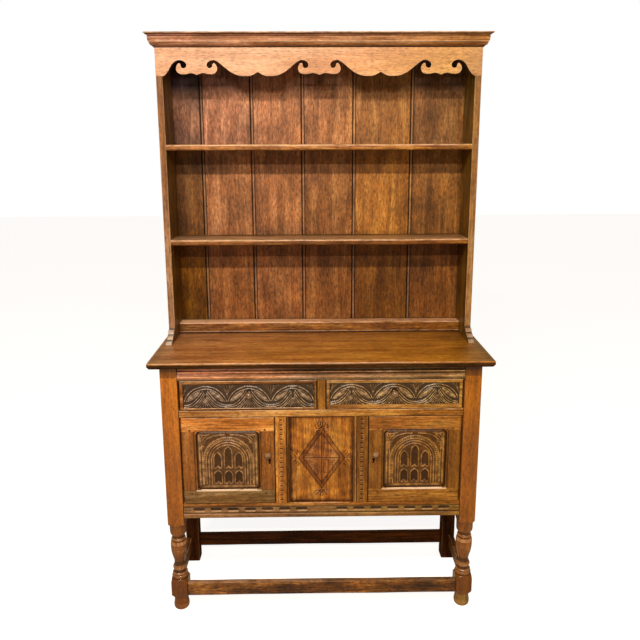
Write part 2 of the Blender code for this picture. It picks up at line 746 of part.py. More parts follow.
def knob_profile(radius, peg_length):
    """(radius, distance out of the face): a peg in the wood, a neck and a round head."""
    head = radius * 0.95
    neck = radius * 0.50
    flange = radius * 0.66
    start = flange * 0.25 + radius * 0.35
    profile = [(neck * 0.75, -peg_length), (neck * 0.75, CLEAR), (flange, CLEAR), (flange, flange * 0.25)]
    profile.append((neck, start))
    for i in range(1, 8):
        angle = math.pi * i / 8
        profile.append((max(radius * math.sin(angle), neck), start + head * (1 - math.cos(angle))))
    profile.append((radius * 0.12, start + head * 2))
    return profile


def make_knob(name, radius, peg_length, place, material):
    """The knob points to -Y from the face at place."""
    profile = [(r, -out) for r, out in knob_profile(radius, peg_length)]
    return turned(name, profile, place, "y", PIN_SIDES, material)


def peg_hole(name, radius, peg_length, place):
    hole = radius * 0.50 * 0.75 + CLEAR
    return turned(name, [(hole, -CUT_PAST), (hole, peg_length + CLEAR)], place, "y", PIN_SIDES)


# Drawers

def make_drawer(side, word, materials, mover):
    x0, x1 = across(side, DIVIDER_WIDTH / 2 + DRAWER_GAP, POST_IN - DRAWER_GAP_POST)
    bottom = DRAWER_RAIL_TOP + DRAWER_GAP
    top = TOP_RAIL_BOTTOM - DRAWER_GAP
    back = FACE + DRAWER_FRONT_THICKNESS
    front_name = f"drawer_front_{word}"
    front = box(front_name, (x0, FACE, bottom), (x1, back, top), materials["carved_oak"])
    field = box(
        f"{front_name}_field",
        (x0 + FIELD_SIDE, FACE - CUT_PAST, bottom + FIELD_BOTTOM[word]),
        (x1 - FIELD_SIDE, FACE + FIELD_DEPTH, top - FIELD_TOP),
    )
    cut(front, field)

    # Sides and back, one U that stands on the runners
    outer0 = x0 + DRAWER_SIDE_INSET
    outer1 = x1 - DRAWER_SIDE_INSET
    inner0 = outer0 + DRAWER_SIDE_THICKNESS
    inner1 = outer1 - DRAWER_SIDE_THICKNESS
    start = back - DRAWER_SIDE_TONGUE
    end = BACK_FRONT - DRAWER_BACK_SPACE
    inner_end = end - DRAWER_SIDE_THICKNESS
    low = DRAWER_RAIL_TOP + CLEAR
    high = low + DRAWER_SIDE_HEIGHT
    outline = [
        (outer0, start), (inner0, start), (inner0, inner_end), (inner1, inner_end),
        (inner1, start), (outer1, start), (outer1, end), (outer0, end),
    ]
    sides = prism(f"drawer_box_{word}", outline, "z", low, high, materials["raw_oak"])

    # Each side enters a groove in the front.
    for number, (a, b) in enumerate(((outer0, inner0), (inner1, outer1)), 1):
        cut(front, grown(
            f"{front_name}_side_groove_{number}", (a, start, low - CUT_PAST), (b, back + CUT_PAST, high)
        ))

    # Bottom board in grooves all round
    floor_low = (
        inner0 - DRAWER_BOTTOM_TONGUE, back - DRAWER_BOTTOM_TONGUE, low + DRAWER_BOTTOM_UP,
    )
    floor_high = (
        inner1 + DRAWER_BOTTOM_TONGUE,
        inner_end + DRAWER_BOTTOM_TONGUE,
        low + DRAWER_BOTTOM_UP + DRAWER_BOTTOM_THICKNESS,
    )
    floor = box(f"drawer_bottom_{word}", floor_low, floor_high, materials["raw_oak"])
    cut(front, grown(f"{front_name}_bottom_groove", floor_low, floor_high))
    cut(sides, grown(f"drawer_box_{word}_groove", floor_low, floor_high))

    place = ((x0 + x1) / 2, FACE + FIELD_DEPTH, bottom + DRAWER_KNOB_RISE)
    peg = DRAWER_FRONT_THICKNESS - FIELD_DEPTH - CUT_PAST
    knob = make_knob(f"drawer_knob_{word}", DRAWER_KNOB_RADIUS, peg, place, materials["knob_oak"])
    cut(front, peg_hole(f"{front_name}_peg_hole", DRAWER_KNOB_RADIUS, peg, place))
    carry(mover, front, sides, floor, knob)


# Doors

def door_span(side):
    """Closing edge and hanging edge of a door."""
    return side * (MUNTIN_OUT + DOOR_GAP), side * (POST_IN - DOOR_GAP)


def door_heights():
    return BOTTOM_RAIL_TOP + DOOR_GAP, DRAWER_RAIL_BOTTOM - DOOR_GAP


def pin_place(side):
    """The hinge axis: the middle of the rounded hanging edge."""
    hanging = door_span(side)[1]
    return hanging - side * DOOR_THICKNESS / 2, FACE + DOOR_THICKNESS / 2


def pin_heights(end):
    bottom, top = door_heights()
    if end == "top":
        return top - PIN_IN_DOOR, DRAWER_RAIL_BOTTOM + PIN_IN_RAIL
    return BOTTOM_RAIL_TOP - PIN_IN_RAIL, bottom + PIN_IN_DOOR


def pin_hole(name, side, end):
    x, y = pin_place(side)
    low, high = pin_heights(end)
    radius = PIN_RADIUS + CLEAR
    return turned(name, [(radius, low - CLEAR), (radius, high + CLEAR)], (x, y, 0), "z", PIN_SIDES)


def make_pin(side, word, end, material):
    """An iron pin let into the rail. The door turns on it, and rests on the lower pin's collar."""
    x, y = pin_place(side)
    low, high = pin_heights(end)
    bottom, top = door_heights()
    gap = (DRAWER_RAIL_BOTTOM, top) if end == "top" else (BOTTOM_RAIL_TOP, bottom)
    collar_low = min(gap) + CLEAR
    collar_high = max(gap) - CLEAR
    profile = [
        (PIN_RADIUS, low), (PIN_RADIUS, collar_low), (PIN_COLLAR_RADIUS, collar_low),
        (PIN_COLLAR_RADIUS, collar_high), (PIN_RADIUS, collar_high), (PIN_RADIUS, high),
    ]
    turned(f"door_pin_{word}_{end}", profile, (x, y, 0), "z", PIN_SIDES, material)


def lock_height():
    return door_heights()[0] + DOOR_KNOB_RISE - LOCK_BELOW_KNOB


def bolt_space(side, travel=0.0):
    """The drawn bolt, or the space that it sweeps when it is thrown by travel."""
    closing = door_span(side)[0]
    nose = closing + side * BOLT_BACK
    tail = nose + side * BOLT_LENGTH
    nose -= side * (travel + BOLT_BACK if travel else 0)
    middle = FACE + DOOR_THICKNESS - LOCK_THICKNESS / 2
    z = lock_height()
    low = (min(nose, tail), middle - BOLT_THICKNESS / 2, z - BOLT_HEIGHT / 2)
    high = (max(nose, tail), middle + BOLT_THICKNESS / 2, z + BOLT_HEIGHT / 2)
    return low, high


def lock_space(side):
    closing = door_span(side)[0]
    x0, x1 = sorted((closing + side * LOCK_EDGE, closing + side * (LOCK_EDGE + LOCK_WIDTH)))
    back = FACE + DOOR_THICKNESS
    z = lock_height()
    return (x0, back - LOCK_THICKNESS, z - LOCK_HEIGHT / 2), (x1, back, z + LOCK_HEIGHT / 2)


def keyhole(name, side):
    """A round hole over a slot, from the face of the door into the lock."""
    x = door_span(side)[0] + side * KEYHOLE_IN
    z = lock_height()
    depth = DOOR_THICKNESS - LOCK_THICKNESS / 2
    outline = arc((x, z), (KEYHOLE_RADIUS, KEYHOLE_RADIUS), -60, 240, 10)
    outline += [(x - KEY_SLOT_WIDTH / 2, z - KEY_SLOT_DROP), (x + KEY_SLOT_WIDTH / 2, z - KEY_SLOT_DROP)]
    return prism(name, outline, "y", FACE - CUT_PAST, FACE + depth)


def door_opening(side):
    closing, hanging = door_span(side)
    bottom, top = door_heights()
    x0, x1 = sorted((closing + side * STILE_LOCK, hanging - side * STILE_HANGING))
    return x0, x1, bottom + DOOR_RAIL_BOTTOM, top - DOOR_RAIL_TOP


def tapered_block(name, x0, x1, z0, z1, y_front, y_back, taper):
    """A block that widens or narrows towards its front by taper on each side."""
    bm = bmesh.new()
    rings = []
    for y, grow in ((y_front, taper), (y_back, 0.0)):
        corners = (
            (x0 - grow, z0 - grow), (x1 + grow, z0 - grow), (x1 + grow, z1 + grow), (x0 - grow, z1 + grow)
        )
        rings.append([bm.verts.new((x, y, z)) for x, z in corners])
    bm.faces.new(rings[0])
    bm.faces.new(rings[1])
    for i in range(4):
        j = (i + 1) % 4
        bm.faces.new((rings[0][i], rings[0][j], rings[1][j], rings[1][i]))
    return mesh_object(name, bm)


def make_door(side, word, materials, mover, bolt_mover):
    closing, hanging = door_span(side)
    bottom, top = door_heights()
    back = FACE + DOOR_THICKNESS
    x0, x1, z0, z1 = door_opening(side)
    radius = DOOR_THICKNESS / 2

    # Frame, seen from above: square at the closing edge, half round at the hanging edge
    outline = [(closing, FACE)]
    pin_x, pin_y = pin_place(side)
    outline += [(pin_x + side * x, pin_y + y) for x, y in arc((0, 0), (radius, radius), -90, 90, 10)]
    outline.append((closing, back))
    name = f"door_frame_{word}"
    frame = prism(name, outline, "z", bottom, top, materials["honey_oak"])
    cut(frame, box(f"{name}_opening", (x0, FACE - CUT_PAST, z0), (x1, back + CUT_PAST, z1)))
    taper = DOOR_CHAMFER + CUT_PAST
    cut(frame, tapered_block(
        f"{name}_chamfer", x0, x1, z0, z1, FACE - CUT_PAST, FACE + DOOR_CHAMFER, taper
    ))

    # Panel: a thin edge in the grooves and a raised field
    panel_front = FACE + DOOR_PANEL_SETBACK
    panel_low = (x0 - PANEL_TONGUE, panel_front, z0 - PANEL_TONGUE)
    panel_high = (x1 + PANEL_TONGUE, panel_front + PANEL_THICKNESS, z1 + PANEL_TONGUE)
    panel = box(f"door_panel_{word}", panel_low, panel_high, materials["carved_oak"])
    cut(frame, grown(f"{name}_groove", panel_low, panel_high))
    join(panel, tapered_block(
        f"door_panel_{word}_field",
        x0 + FIELD_GROOVE, x1 - FIELD_GROOVE, z0 + FIELD_GROOVE, z1 - FIELD_GROOVE,
        panel_front - FIELD_RISE, panel_front + PANEL_THICKNESS / 2, -FIELD_RISE / 2,
    ))

    # Pin holes, knob and lock
    for end in ("top", "bottom"):
        cut(frame, pin_hole(f"{name}_pin_hole_{end}", side, end))
    place = (closing + side * DOOR_KNOB_IN, FACE, bottom + DOOR_KNOB_RISE)
    peg = DOOR_THICKNESS - LOCK_THICKNESS
    knob = make_knob(f"door_knob_{word}", DOOR_KNOB_RADIUS, peg - CUT_PAST, place, materials["knob_oak"])
    cut(frame, peg_hole(f"{name}_peg_hole", DOOR_KNOB_RADIUS, peg - CUT_PAST, place))
    low, high = lock_space(side)
    cut(frame, grown(f"{name}_lock_recess", low, (high[0], high[1] + CUT_PAST, high[2])))
    cut(frame, keyhole(f"{name}_keyhole", side))
    cut(frame, grown(f"{name}_bolt_way", *bolt_space(side, LOCK_EDGE)))
    lock = box(f"door_lock_{word}", low, high, materials["iron"])
    cut(lock, grown(f"door_lock_{word}_bolt_way", *bolt_space(side, LOCK_EDGE)))
    cut(lock, keyhole(f"door_lock_{word}_keyhole", side))
    bolt = box(f"lock_bolt_{word}", *bolt_space(side), materials["iron"])
    carry(mover, frame, panel, knob, lock)
    carry(bolt_mover, bolt)
    for end in ("top", "bottom"):
        make_pin(side, word, end, materials["iron"])


# Plate rack

def rack_side_outline():
    """Side view (y, z): lobes at the foot, and a notch for the frieze at the top."""
    toe = RACK_FRONT - FOOT_LENGTH
    lobe_y = FOOT_LENGTH / FOOT_LOBES
    lobe_z = FOOT_HEIGHT / FOOT_LOBES
    outline = [(RACK_BACK, RACK_FOOT), (toe, RACK_FOOT)]
    for i in range(FOOT_LOBES):
        corner = (toe + (i + 1) * lobe_y, RACK_FOOT + i * lobe_z)
        outline += arc(corner, (lobe_y, lobe_z - FOOT_STEP), 180, 90, 6)[1:]
        outline.append((corner[0], corner[1] + lobe_z))
    notch = FRIEZE_BACK + CLEAR
    outline += [(RACK_FRONT, FRIEZE_BOTTOM - CLEAR), (notch, FRIEZE_BOTTOM - CLEAR), (notch, RACK_TOP)]
    outline.append((RACK_BACK, RACK_TOP))
    return outline


def shelf_heights(which):
    top = WORKTOP_HEIGHT + SHELF_TOPS[which]
    return top - SHELF_THICKNESS, top


def housing_bar(bottom, top, front):
    """The tongue at both ends of a rack board, as one bar."""
    reach = RACK_IN + SHELF_TONGUE
    inset = (top - bottom) / 6
    return (
        (-reach, front + SHELF_STOP, bottom + inset),
        (reach, BACKBOARD_FRONT - CLEAR - SHELF_STOP / 2, top - inset),
    )


def top_board_front():
    return FRIEZE_BACK + CLEAR


def make_rack_sides(material):
    bars = {which: housing_bar(*shelf_heights(which), RACK_FRONT) for which in SHELF_TOPS}
    bars["top"] = housing_bar(RACK_TOP - TOP_BOARD_THICKNESS, RACK_TOP, top_board_front())
    for side, word in SIDES:
        x0, x1 = across(side, RACK_IN, RACK_OUT)
        name = f"rack_side_{word}"
        piece = prism(name, rack_side_outline(), "x", x0, x1, material)
        x0, x1 = across(side, RACK_IN - CUT_PAST, RACK_IN + BACKBOARD_REBATE)
        cut(piece, box(
            f"{name}_rebate",
            (x0, BACKBOARD_FRONT - CLEAR, RACK_FOOT - CUT_PAST),
            (x1, RACK_BACK + CUT_PAST, RACK_TOP + CUT_PAST),
        ))
        for which, (low, high) in bars.items():
            cut(piece, grown(f"{name}_{which}_housing", low, high))


def make_shelves(material):
    reach = RACK_IN - CLEAR
    back = BACKBOARD_FRONT - CLEAR
    for which in SHELF_TOPS:
        bottom, top = shelf_heights(which)
        soft = SHELF_THICKNESS / 4
        groove = back - PLATE_GROOVE_BACK
        half = PLATE_GROOVE_WIDTH / 2
        outline = [(back, bottom), (RACK_FRONT + soft, bottom)]
        outline += arc((RACK_FRONT + soft, bottom + soft), (soft, soft), 270, 180, 3)[1:]
        outline += arc((RACK_FRONT + soft, top - soft), (soft, soft), 180, 90, 3)
        outline += [
            (groove - half, top), (groove, top - PLATE_GROOVE_DEPTH), (groove + half, top), (back, top),
        ]
        piece = prism(f"rack_shelf_{which}", outline, "x", -reach, reach, material)
        join(piece, box(f"rack_shelf_{which}_tongues", *housing_bar(bottom, top, RACK_FRONT)))


def make_rack_rail_and_top(material):
    reach = RACK_IN - CLEAR
    back = BACKBOARD_FRONT - CLEAR
    front = back - RACK_RAIL_DEPTH
    top = WORKTOP_HEIGHT + RACK_RAIL_HEIGHT
    step = WORKTOP_HEIGHT + RACK_RAIL_STEP
    soft = RACK_RAIL_SOFT
    outline = [
        (back, RACK_FOOT), (front - soft, RACK_FOOT), (front - soft, step),
        (front, step + soft), (front, top - soft), (front + soft, top), (back, top),
    ]
    prism("rack_bottom_rail", outline, "x", -reach, reach, material)
    bottom = RACK_TOP - TOP_BOARD_THICKNESS
    piece = box("rack_top_board", (-reach, top_board_front(), bottom), (reach, back, RACK_TOP), material)
    join(piece, box("rack_top_board_tongues", *housing_bar(bottom, RACK_TOP, top_board_front())))


def make_backboards(material):
    """Tongued and grooved boards, each with a bead down its right edge."""
    width = 2 * RACK_IN
    share = sum(BACKBOARD_SHARES)
    front = BACKBOARD_FRONT
    tongue_front = front + BACKBOARD_THICKNESS * 0.5
    tongue_back = front + BACKBOARD_THICKNESS * 0.8
    left = -RACK_IN
    count = len(BACKBOARD_SHARES)
    for number, part in enumerate(BACKBOARD_SHARES, 1):
        right = left + width * part / share
        x0 = left - (BACKBOARD_REBATE - CLEAR) if number == 1 else left + CLEAR
        outline = [(x0, RACK_BACK)]
        if number > 1:
            depth = BOARD_TONGUE + CLEAR
            outline += [
                (x0, tongue_back + CLEAR), (x0 + depth, tongue_back + CLEAR),
                (x0 + depth, tongue_front - CLEAR), (x0, tongue_front - CLEAR),
            ]
        outline.append((x0, front))
        if number < count:
            half = BOARD_BEAD / 2
            bead = right - half
            outline += [(bead - half - BOARD_QUIRK, front), (bead - half, front + BOARD_QUIRK)]
            outline += arc((bead, front + BOARD_QUIRK), (half, BOARD_QUIRK), 180, 360, 6)[1:]
            outline += [
                (right, tongue_front), (right + BOARD_TONGUE, tongue_front),
                (right + BOARD_TONGUE, tongue_back), (right, tongue_back), (right, RACK_BACK),
            ]
        else:
            x1 = right + BACKBOARD_REBATE - CLEAR
            outline += [(x1, front), (x1, RACK_BACK)]
        prism(f"rack_backboard_{number}", outline, "z", RACK_FOOT, RACK_TOP, material)
        left = right


def hook():
    """One scroll of the frieze with its round end at the origin, from the long sweep to the lobe.

    The opening curls over to the right, and the wood curls up inside it as a lobe.
    """
    eye = SCROLL_EYE
    over = flowing([
        (-0.041, -0.003), (-0.036, 0.0085), (-0.027, 0.0150), (-0.014, 0.0178), (-0.003, 0.0160),
    ], 3)
    end = arc((0, 0), (eye, eye), 70, -185, 9)
    lobe = flowing([
        (-0.0100, 0.0045), (-0.0150, 0.0062), (-0.0200, 0.0005), (-0.0235, -0.0090),
        (-0.0215, -0.0185), (-0.0150, -0.0250), (-0.0060, -0.0275),
    ], 3)
    return over + end + lobe


def placed(points, x, z):
    return [(x + a, z + b) for a, b in points]


def frieze_outline():
    """Front view (x, z) of the pierced frieze. The right half mirrors the left."""
    eye_z = FRIEZE_BOTTOM + SCROLL_RISE
    first = -RACK_IN + SCROLL_FROM_SIDE
    second = first + SCROLL_PAIR_OUT
    third = -SCROLL_PAIR_MID / 2
    cusp_x = (second + third) / 2
    low = -SCROLL_RISE

    def tongue(width):
        """Left half of the wavy edge between the two lobes of a pair."""
        return flowing([
            (0.0078, -0.0270), (width * 0.26, -0.0240), (width * 0.39, -0.0262), (width * 0.5, -0.0295),
        ], 3)

    edge = [(-RACK_OUT, eye_z + low), (-RACK_IN, eye_z + low)]
    rise = flowing([(-0.0655, low), (-0.056, -0.0260), (-0.047, -0.0140)], 3)
    edge += placed(rise + hook(), first, eye_z)
    half = tongue(SCROLL_PAIR_OUT)
    edge += placed(half, first, eye_z)
    edge += placed(mirrored(half)[1:], second, eye_z)
    edge += placed(mirrored(hook()), second, eye_z)

    # The swag falls from the second scroll to a cusp and rises to the third.
    fall = [(0.052, -0.0085), (0.068, -0.0215), (0.088, -0.0310)]
    run = cusp_x - second
    inner = [(run * 0.72, low), (run * 0.86, low * 0.95), (run, low + SWAG_CUSP)]
    swag = flowing([*fall, *inner], 3)
    edge += placed(swag, second, eye_z)
    edge += placed(mirrored(swag)[1:], third, eye_z)
    edge += placed(hook(), third, eye_z)
    edge += placed(tongue(SCROLL_PAIR_MID), third, eye_z)
    middle = edge.pop()
    outline = [*edge, (0.0, middle[1]), *mirrored(edge)]
    return [*outline, (RACK_OUT, RACK_TOP), (-RACK_OUT, RACK_TOP)]


def make_frieze(material):
    prism("rack_frieze", frieze_outline(), "y", FRIEZE_FRONT, FRIEZE_BACK, material)


def cornice_profile():
    """(proud of the frieze, height above the cornice's lower edge)."""
    height = CORNICE_HEIGHT
    proud = CORNICE_PROUD
    cove_top = height * 0.34
    band_top = height * 0.72
    profile = [(CLEAR, 0), (proud * 0.10, 0), (proud * 0.14, height * 0.04)]
    profile += arc((proud * 0.14, cove_top), (proud * 0.36, height * 0.26), 270, 360, 5)[1:]
    profile += [(proud * 0.55, cove_top), (proud * 0.62, height * 0.48), (proud * 0.66, band_top)]
    profile.append((proud * 0.60, height * 0.75))
    profile += arc((proud * 0.96, height * 0.75), (proud * 0.30, height * 0.16), 180, 100, 5)[1:]
    profile += [(proud, height * 0.92), (proud, height), (CLEAR, height)]
    return profile


def make_cornice(material):
    """The moulding runs round the front and both sides, mitred at the corners."""
    bm = bmesh.new()
    rings = []
    for proud, height in cornice_profile():
        x = RACK_OUT + proud
        y = FRIEZE_FRONT - proud
        z = CORNICE_BOTTOM + height
        rings.append([
            bm.verts.new(place) for place in ((-x, RACK_BACK, z), (-x, y, z), (x, y, z), (x, RACK_BACK, z))
        ])
    count = len(rings)
    for i in range(count):
        j = (i + 1) % count
        for k in range(3):
            bm.faces.new((rings[i][k], rings[i][k + 1], rings[j][k + 1], rings[j][k]))
    bm.faces.new([ring[0] for ring in rings])
    bm.faces.new([ring[3] for ring in rings])
    mesh_object("rack_cornice", bm, material)


# Assembly

def axis_empty(name, place):
    empty = bpy.data.objects.new(name, None)
    empty.location = place
    bpy.context.scene.collection.objects.link(empty)
    return empty


def carry(mover, *pieces):
    """Parents pieces to an empty without moving them."""
    for piece in pieces:
        piece.parent = mover
        piece.matrix_parent_inverse = mover.matrix_world.inverted()


def main():
    for old in list(bpy.data.objects):
        bpy.data.objects.remove(old, do_unlink=True)
    materials = {
        "honey_oak": finish("honey_oak", (0.38, 0.165, 0.045), 0.48),
        "brown_oak": finish("brown_oak", (0.24, 0.100, 0.032), 0.50),
        "carved_oak": finish("carved_oak", (0.095, 0.060, 0.036), 0.55),
        "raw_oak": finish("raw_oak", (0.23, 0.125, 0.055), 0.75),
        "knob_oak": finish("knob_oak", (0.33, 0.150, 0.070), 0.38),
        "iron": finish("iron", (0.045, 0.040, 0.038), 0.45, 1.0),
    }
    honey = materials["honey_oak"]
    brown = materials["brown_oak"]

    make_worktop(brown)
    for side, word in SIDES:
        make_front_leg(side, word, honey)
        make_rear_leg(side, word, brown)
        make_muntin(side, word, honey)
    make_stretchers(brown)
    make_top_rail(honey)
    make_drawer_rail(honey)
    make_divider(honey)
    make_bottom_rail(honey)
    make_bottom_moulding(honey)
    make_carcass(materials)

    for side, word in SIDES:
        drawer_place = (side * POST_IN / 2, FACE, DRAWER_RAIL_TOP + CLEAR)
        drawer = axis_empty(f"drawer_{word}_slide", drawer_place)
        door = axis_empty(f"door_{word}_axis", (*pin_place(side), door_heights()[0]))
        low, high = bolt_space(side)
        bolt = axis_empty(f"bolt_{word}_slide", [(a + b) / 2 for a, b in zip(low, high)])
        bpy.context.view_layer.update()
        carry(door, bolt)
        make_drawer(side, word, materials, drawer)
        make_door(side, word, materials, door, bolt)

    make_rack_sides(brown)
    make_shelves(brown)
    make_rack_rail_and_top(brown)
    make_backboards(brown)
    make_frieze(honey)
    make_cornice(honey)


main()
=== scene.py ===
"""The looks of an oak kitchen dresser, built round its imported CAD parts.

Units are metres, +Z is up and the front faces -Y. Each piece of wood is made where its CAD part is.
"""

import math

import bmesh
import bpy
import numpy as np
from mathutils import Matrix, Vector, noise


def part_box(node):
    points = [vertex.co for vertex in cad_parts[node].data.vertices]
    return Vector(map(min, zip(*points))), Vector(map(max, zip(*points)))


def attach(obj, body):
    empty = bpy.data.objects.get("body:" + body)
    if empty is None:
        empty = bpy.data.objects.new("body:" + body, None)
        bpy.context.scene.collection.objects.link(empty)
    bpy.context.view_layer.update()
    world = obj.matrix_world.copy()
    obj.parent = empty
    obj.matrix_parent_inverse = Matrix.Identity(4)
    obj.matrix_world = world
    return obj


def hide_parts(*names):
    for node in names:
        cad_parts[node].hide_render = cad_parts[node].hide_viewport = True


noise.seed_set(7)        # the small unevenness of long pieces
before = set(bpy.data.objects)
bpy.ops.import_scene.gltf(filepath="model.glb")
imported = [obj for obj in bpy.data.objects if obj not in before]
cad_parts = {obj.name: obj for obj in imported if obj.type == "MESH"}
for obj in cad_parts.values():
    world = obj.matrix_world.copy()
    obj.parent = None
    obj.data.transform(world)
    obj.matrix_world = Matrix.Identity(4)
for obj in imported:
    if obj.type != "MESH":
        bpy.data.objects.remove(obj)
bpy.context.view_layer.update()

# Sizes that the part's source gives
POST_IN, POST_OUT = 0.4525, 0.5075      # inner and outer faces of the front posts
POST_HALF = 0.0275
REAR_IN = 0.4595                        # inner faces of the rear legs
FACE, FRAME_BACK = -0.1535, -0.1335     # rails, doors and drawers
BAY = (0.3965, 0.6967)                  # the opening for doors and centre panel, from foot to top
STRETCHER = (0.053, 0.100)              # lower and upper face
RACK_IN, RACK_OUT = 0.4942, 0.5147      # faces of the rack's sides
RACK_FRONT, BOARD_FRONT, RACK_BACK = 0.049, 0.1935, 0.2055
SHELF_TOPS = (1.2380, 1.5467)
FRIEZE_FOOT, CORNICE_FOOT = 1.7570, 1.8435
CLEAR = 0.0003
FIELD_DEPTH = 0.003                     # carved field of a drawer below its face
REAR_RISE = 0.0035                      # marks the plain wood at the back of a carved board
SIDES = ((-1, "left"), (1, "right"))


# Colours and materials

def linear(code):
    """An sRGB hex colour as linear red, green, blue and alpha."""
    parts = [int(code[i:i + 2], 16) / 255 for i in (1, 3, 5)]
    return (*[p / 12.92 if p <= 0.04045 else ((p + 0.055) / 1.055) ** 2.4 for p in parts], 1.0)


def node(tree, kind, inputs=None, stops=None, **settings):
    """Adds a node. An input is a value or another node's output; stops are a ramp's (place, colour)."""
    made = tree.nodes.new(kind)
    for key, value in settings.items():
        setattr(made, key, value)
    for key, value in (inputs or {}).items():
        if isinstance(value, bpy.types.NodeSocket):
            tree.links.new(value, made.inputs[key])
        else:
            made.inputs[key].default_value = value
    if stops:
        points = made.color_ramp.elements
        while len(points) < len(stops):
            points.new(0.5)
        for point, (where, colour) in zip(points, stops):
            point.position = where
            point.color = linear(colour)
    return made


def new_material(name):
    material = bpy.data.materials.new(name)
    material.use_nodes = True
    return material, material.node_tree, material.node_tree.nodes["Principled BSDF"]


def times(tree, a, b, clamp=False):
    """The product of two values."""
    return node(tree, "ShaderNodeMath", {0: a, 1: b}, operation="MULTIPLY", use_clamp=clamp).outputs[0]


def mixed(tree, share, a, b):
    """Colour a, and by this share colour b."""
    return node(tree, "ShaderNodeMix", {0: share, 6: a, 7: b}, data_type="RGBA").outputs[2]


def given(tree, name, socket="Fac"):
    """What the mesh says under this name."""
    return node(tree, "ShaderNodeAttribute", attribute_name=name).outputs[socket]


def tinted(tree, colour):
    """The mesh says how its red, green and blue differ here, as shares of the colour, for the wood's own colour
    and for painted light and shade.
    """
    own = given(tree, "tint", "Vector")
    tint = node(tree, "ShaderNodeVectorMath", {0: own, 1: (1.0, 1.0, 1.0)}, operation="ADD")
    dyed = node(tree, "ShaderNodeVectorMath", {0: colour, 1: tint.outputs[0]}, operation="MULTIPLY")
    return dyed.outputs[0]


def oak(name, grain, deep, body, pale, wear_and_light, grime_and_shade="#190D06", roughness=0.34, wax=0.25, mottle=0.30,
        streak=0.5, pores=0.45, fleck=0.34):
    """Waxed oak. grain is the axis of its fibres; deep, body and pale are its own colours.

    After those comes the colour of rubbed arrises and of painted highlights; the last colour is that of corners
    where wax and dirt gather and of painted shade.
    """
    material, tree, shader = new_material(name)
    place = node(tree, "ShaderNodeTexCoord").outputs["Object"]
    shift = node(tree, "ShaderNodeVectorMath", {
        0: (37.0, 23.0, 51.0), "Scale": given(tree, "board"),
    }, operation="SCALE")
    place = node(tree, "ShaderNodeVectorMath", {0: place, 1: shift.outputs[0]}, operation="ADD").outputs[0]

    def pattern(across, along, low, high, detail=3.0, distortion=0.0):
        """Noise of this size in metres, with the part between low and high spread over 0 to 1."""
        size = [1 / across] * 3
        size["xyz".index(grain)] = 1 / along
        spread = node(tree, "ShaderNodeVectorMath", {0: place, 1: tuple(size)}, operation="MULTIPLY")
        cloud = node(tree, "ShaderNodeTexNoise", {
            "Vector": spread.outputs[0], "Scale": 1.0, "Detail": detail, "Distortion": distortion,
        })
        return node(tree, "ShaderNodeMapRange", {
            "Value": cloud.outputs[0], "From Min": low, "From Max": high,
        }).outputs[0]

    def level(value, by, lift):
        """A brightness from 1 - by to 1 + by * lift."""
        ends = {"To Min": 1 - by, "To Max": 1 + by * lift}
        return node(tree, "ShaderNodeMapRange", {"Value": value, **ends}).outputs[0]

    # Growth rings give broad bands of 30 to 50 mm, vessels fine lines, drawn as 4 mm to show here.
    bands = pattern(0.036, 0.40, 0.34, 0.66, 2.0, 1.2)
    lines = pattern(0.0042, 0.09, 0.30, 0.70, 3.0)
    both = node(tree, "ShaderNodeMix", {"Factor": streak, 2: bands, 3: lines}).outputs[0]
    stops = ((0.15, deep), (0.5, body), (0.85, pale))
    colour = node(tree, "ShaderNodeValToRGB", {0: both}, stops=stops).outputs[0]

    # Old wax lies unevenly, in patches of about 90 mm, and short rays fleck the wood every 6 mm.
    patches = pattern(0.075, 0.11, 0.30, 0.72, 3.0)
    flecks = pattern(0.0055, 0.016, 0.30, 0.70, 4.0, 0.6)
    shade = times(tree, level(patches, mottle, 0.35), level(flecks, fleck, 0.75))
    colour = node(tree, "ShaderNodeVectorMath", {0: colour, "Scale": shade}, operation="SCALE").outputs[0]

    # Open pores and small specks, dark with old polish
    specks = times(tree, pattern(0.0026, 0.014, 0.58, 0.72, 1.0), pores)
    colour = tinted(tree, mixed(tree, specks, colour, linear(grime_and_shade)))

    # Rubbed arrises and painted highlights are paler, dirt and painted shade darker: the mesh says where, from 1
    # to -1.
    light_and_wear = given(tree, "wear_and_light")
    rubbed = times(tree, light_and_wear, pattern(0.007, 0.030, 0.25, 0.60, 2.0), True)
    colour = mixed(tree, times(tree, rubbed, 0.85), colour, linear(wear_and_light))
    colour = mixed(tree, times(tree, light_and_wear, -0.95, True), colour, linear(grime_and_shade))
    tree.links.new(colour, shader.inputs["Base Color"])

    gloss = node(tree, "ShaderNodeMapRange", {
        "Value": patches, "To Min": roughness + 0.07, "To Max": roughness - 0.05,
    }).outputs[0]
    tree.links.new(gloss, shader.inputs["Roughness"])
    shader.inputs["Specular IOR Level"].default_value = wax
    relief = node(tree, "ShaderNodeMath", {0: specks, 1: -1.0, 2: lines}, operation="MULTIPLY_ADD").outputs[0]
    bump = node(tree, "ShaderNodeBump", {"Strength": 0.6, "Distance": 0.0004, "Height": relief})
    tree.links.new(bump.outputs[0], shader.inputs["Normal"])
    return material


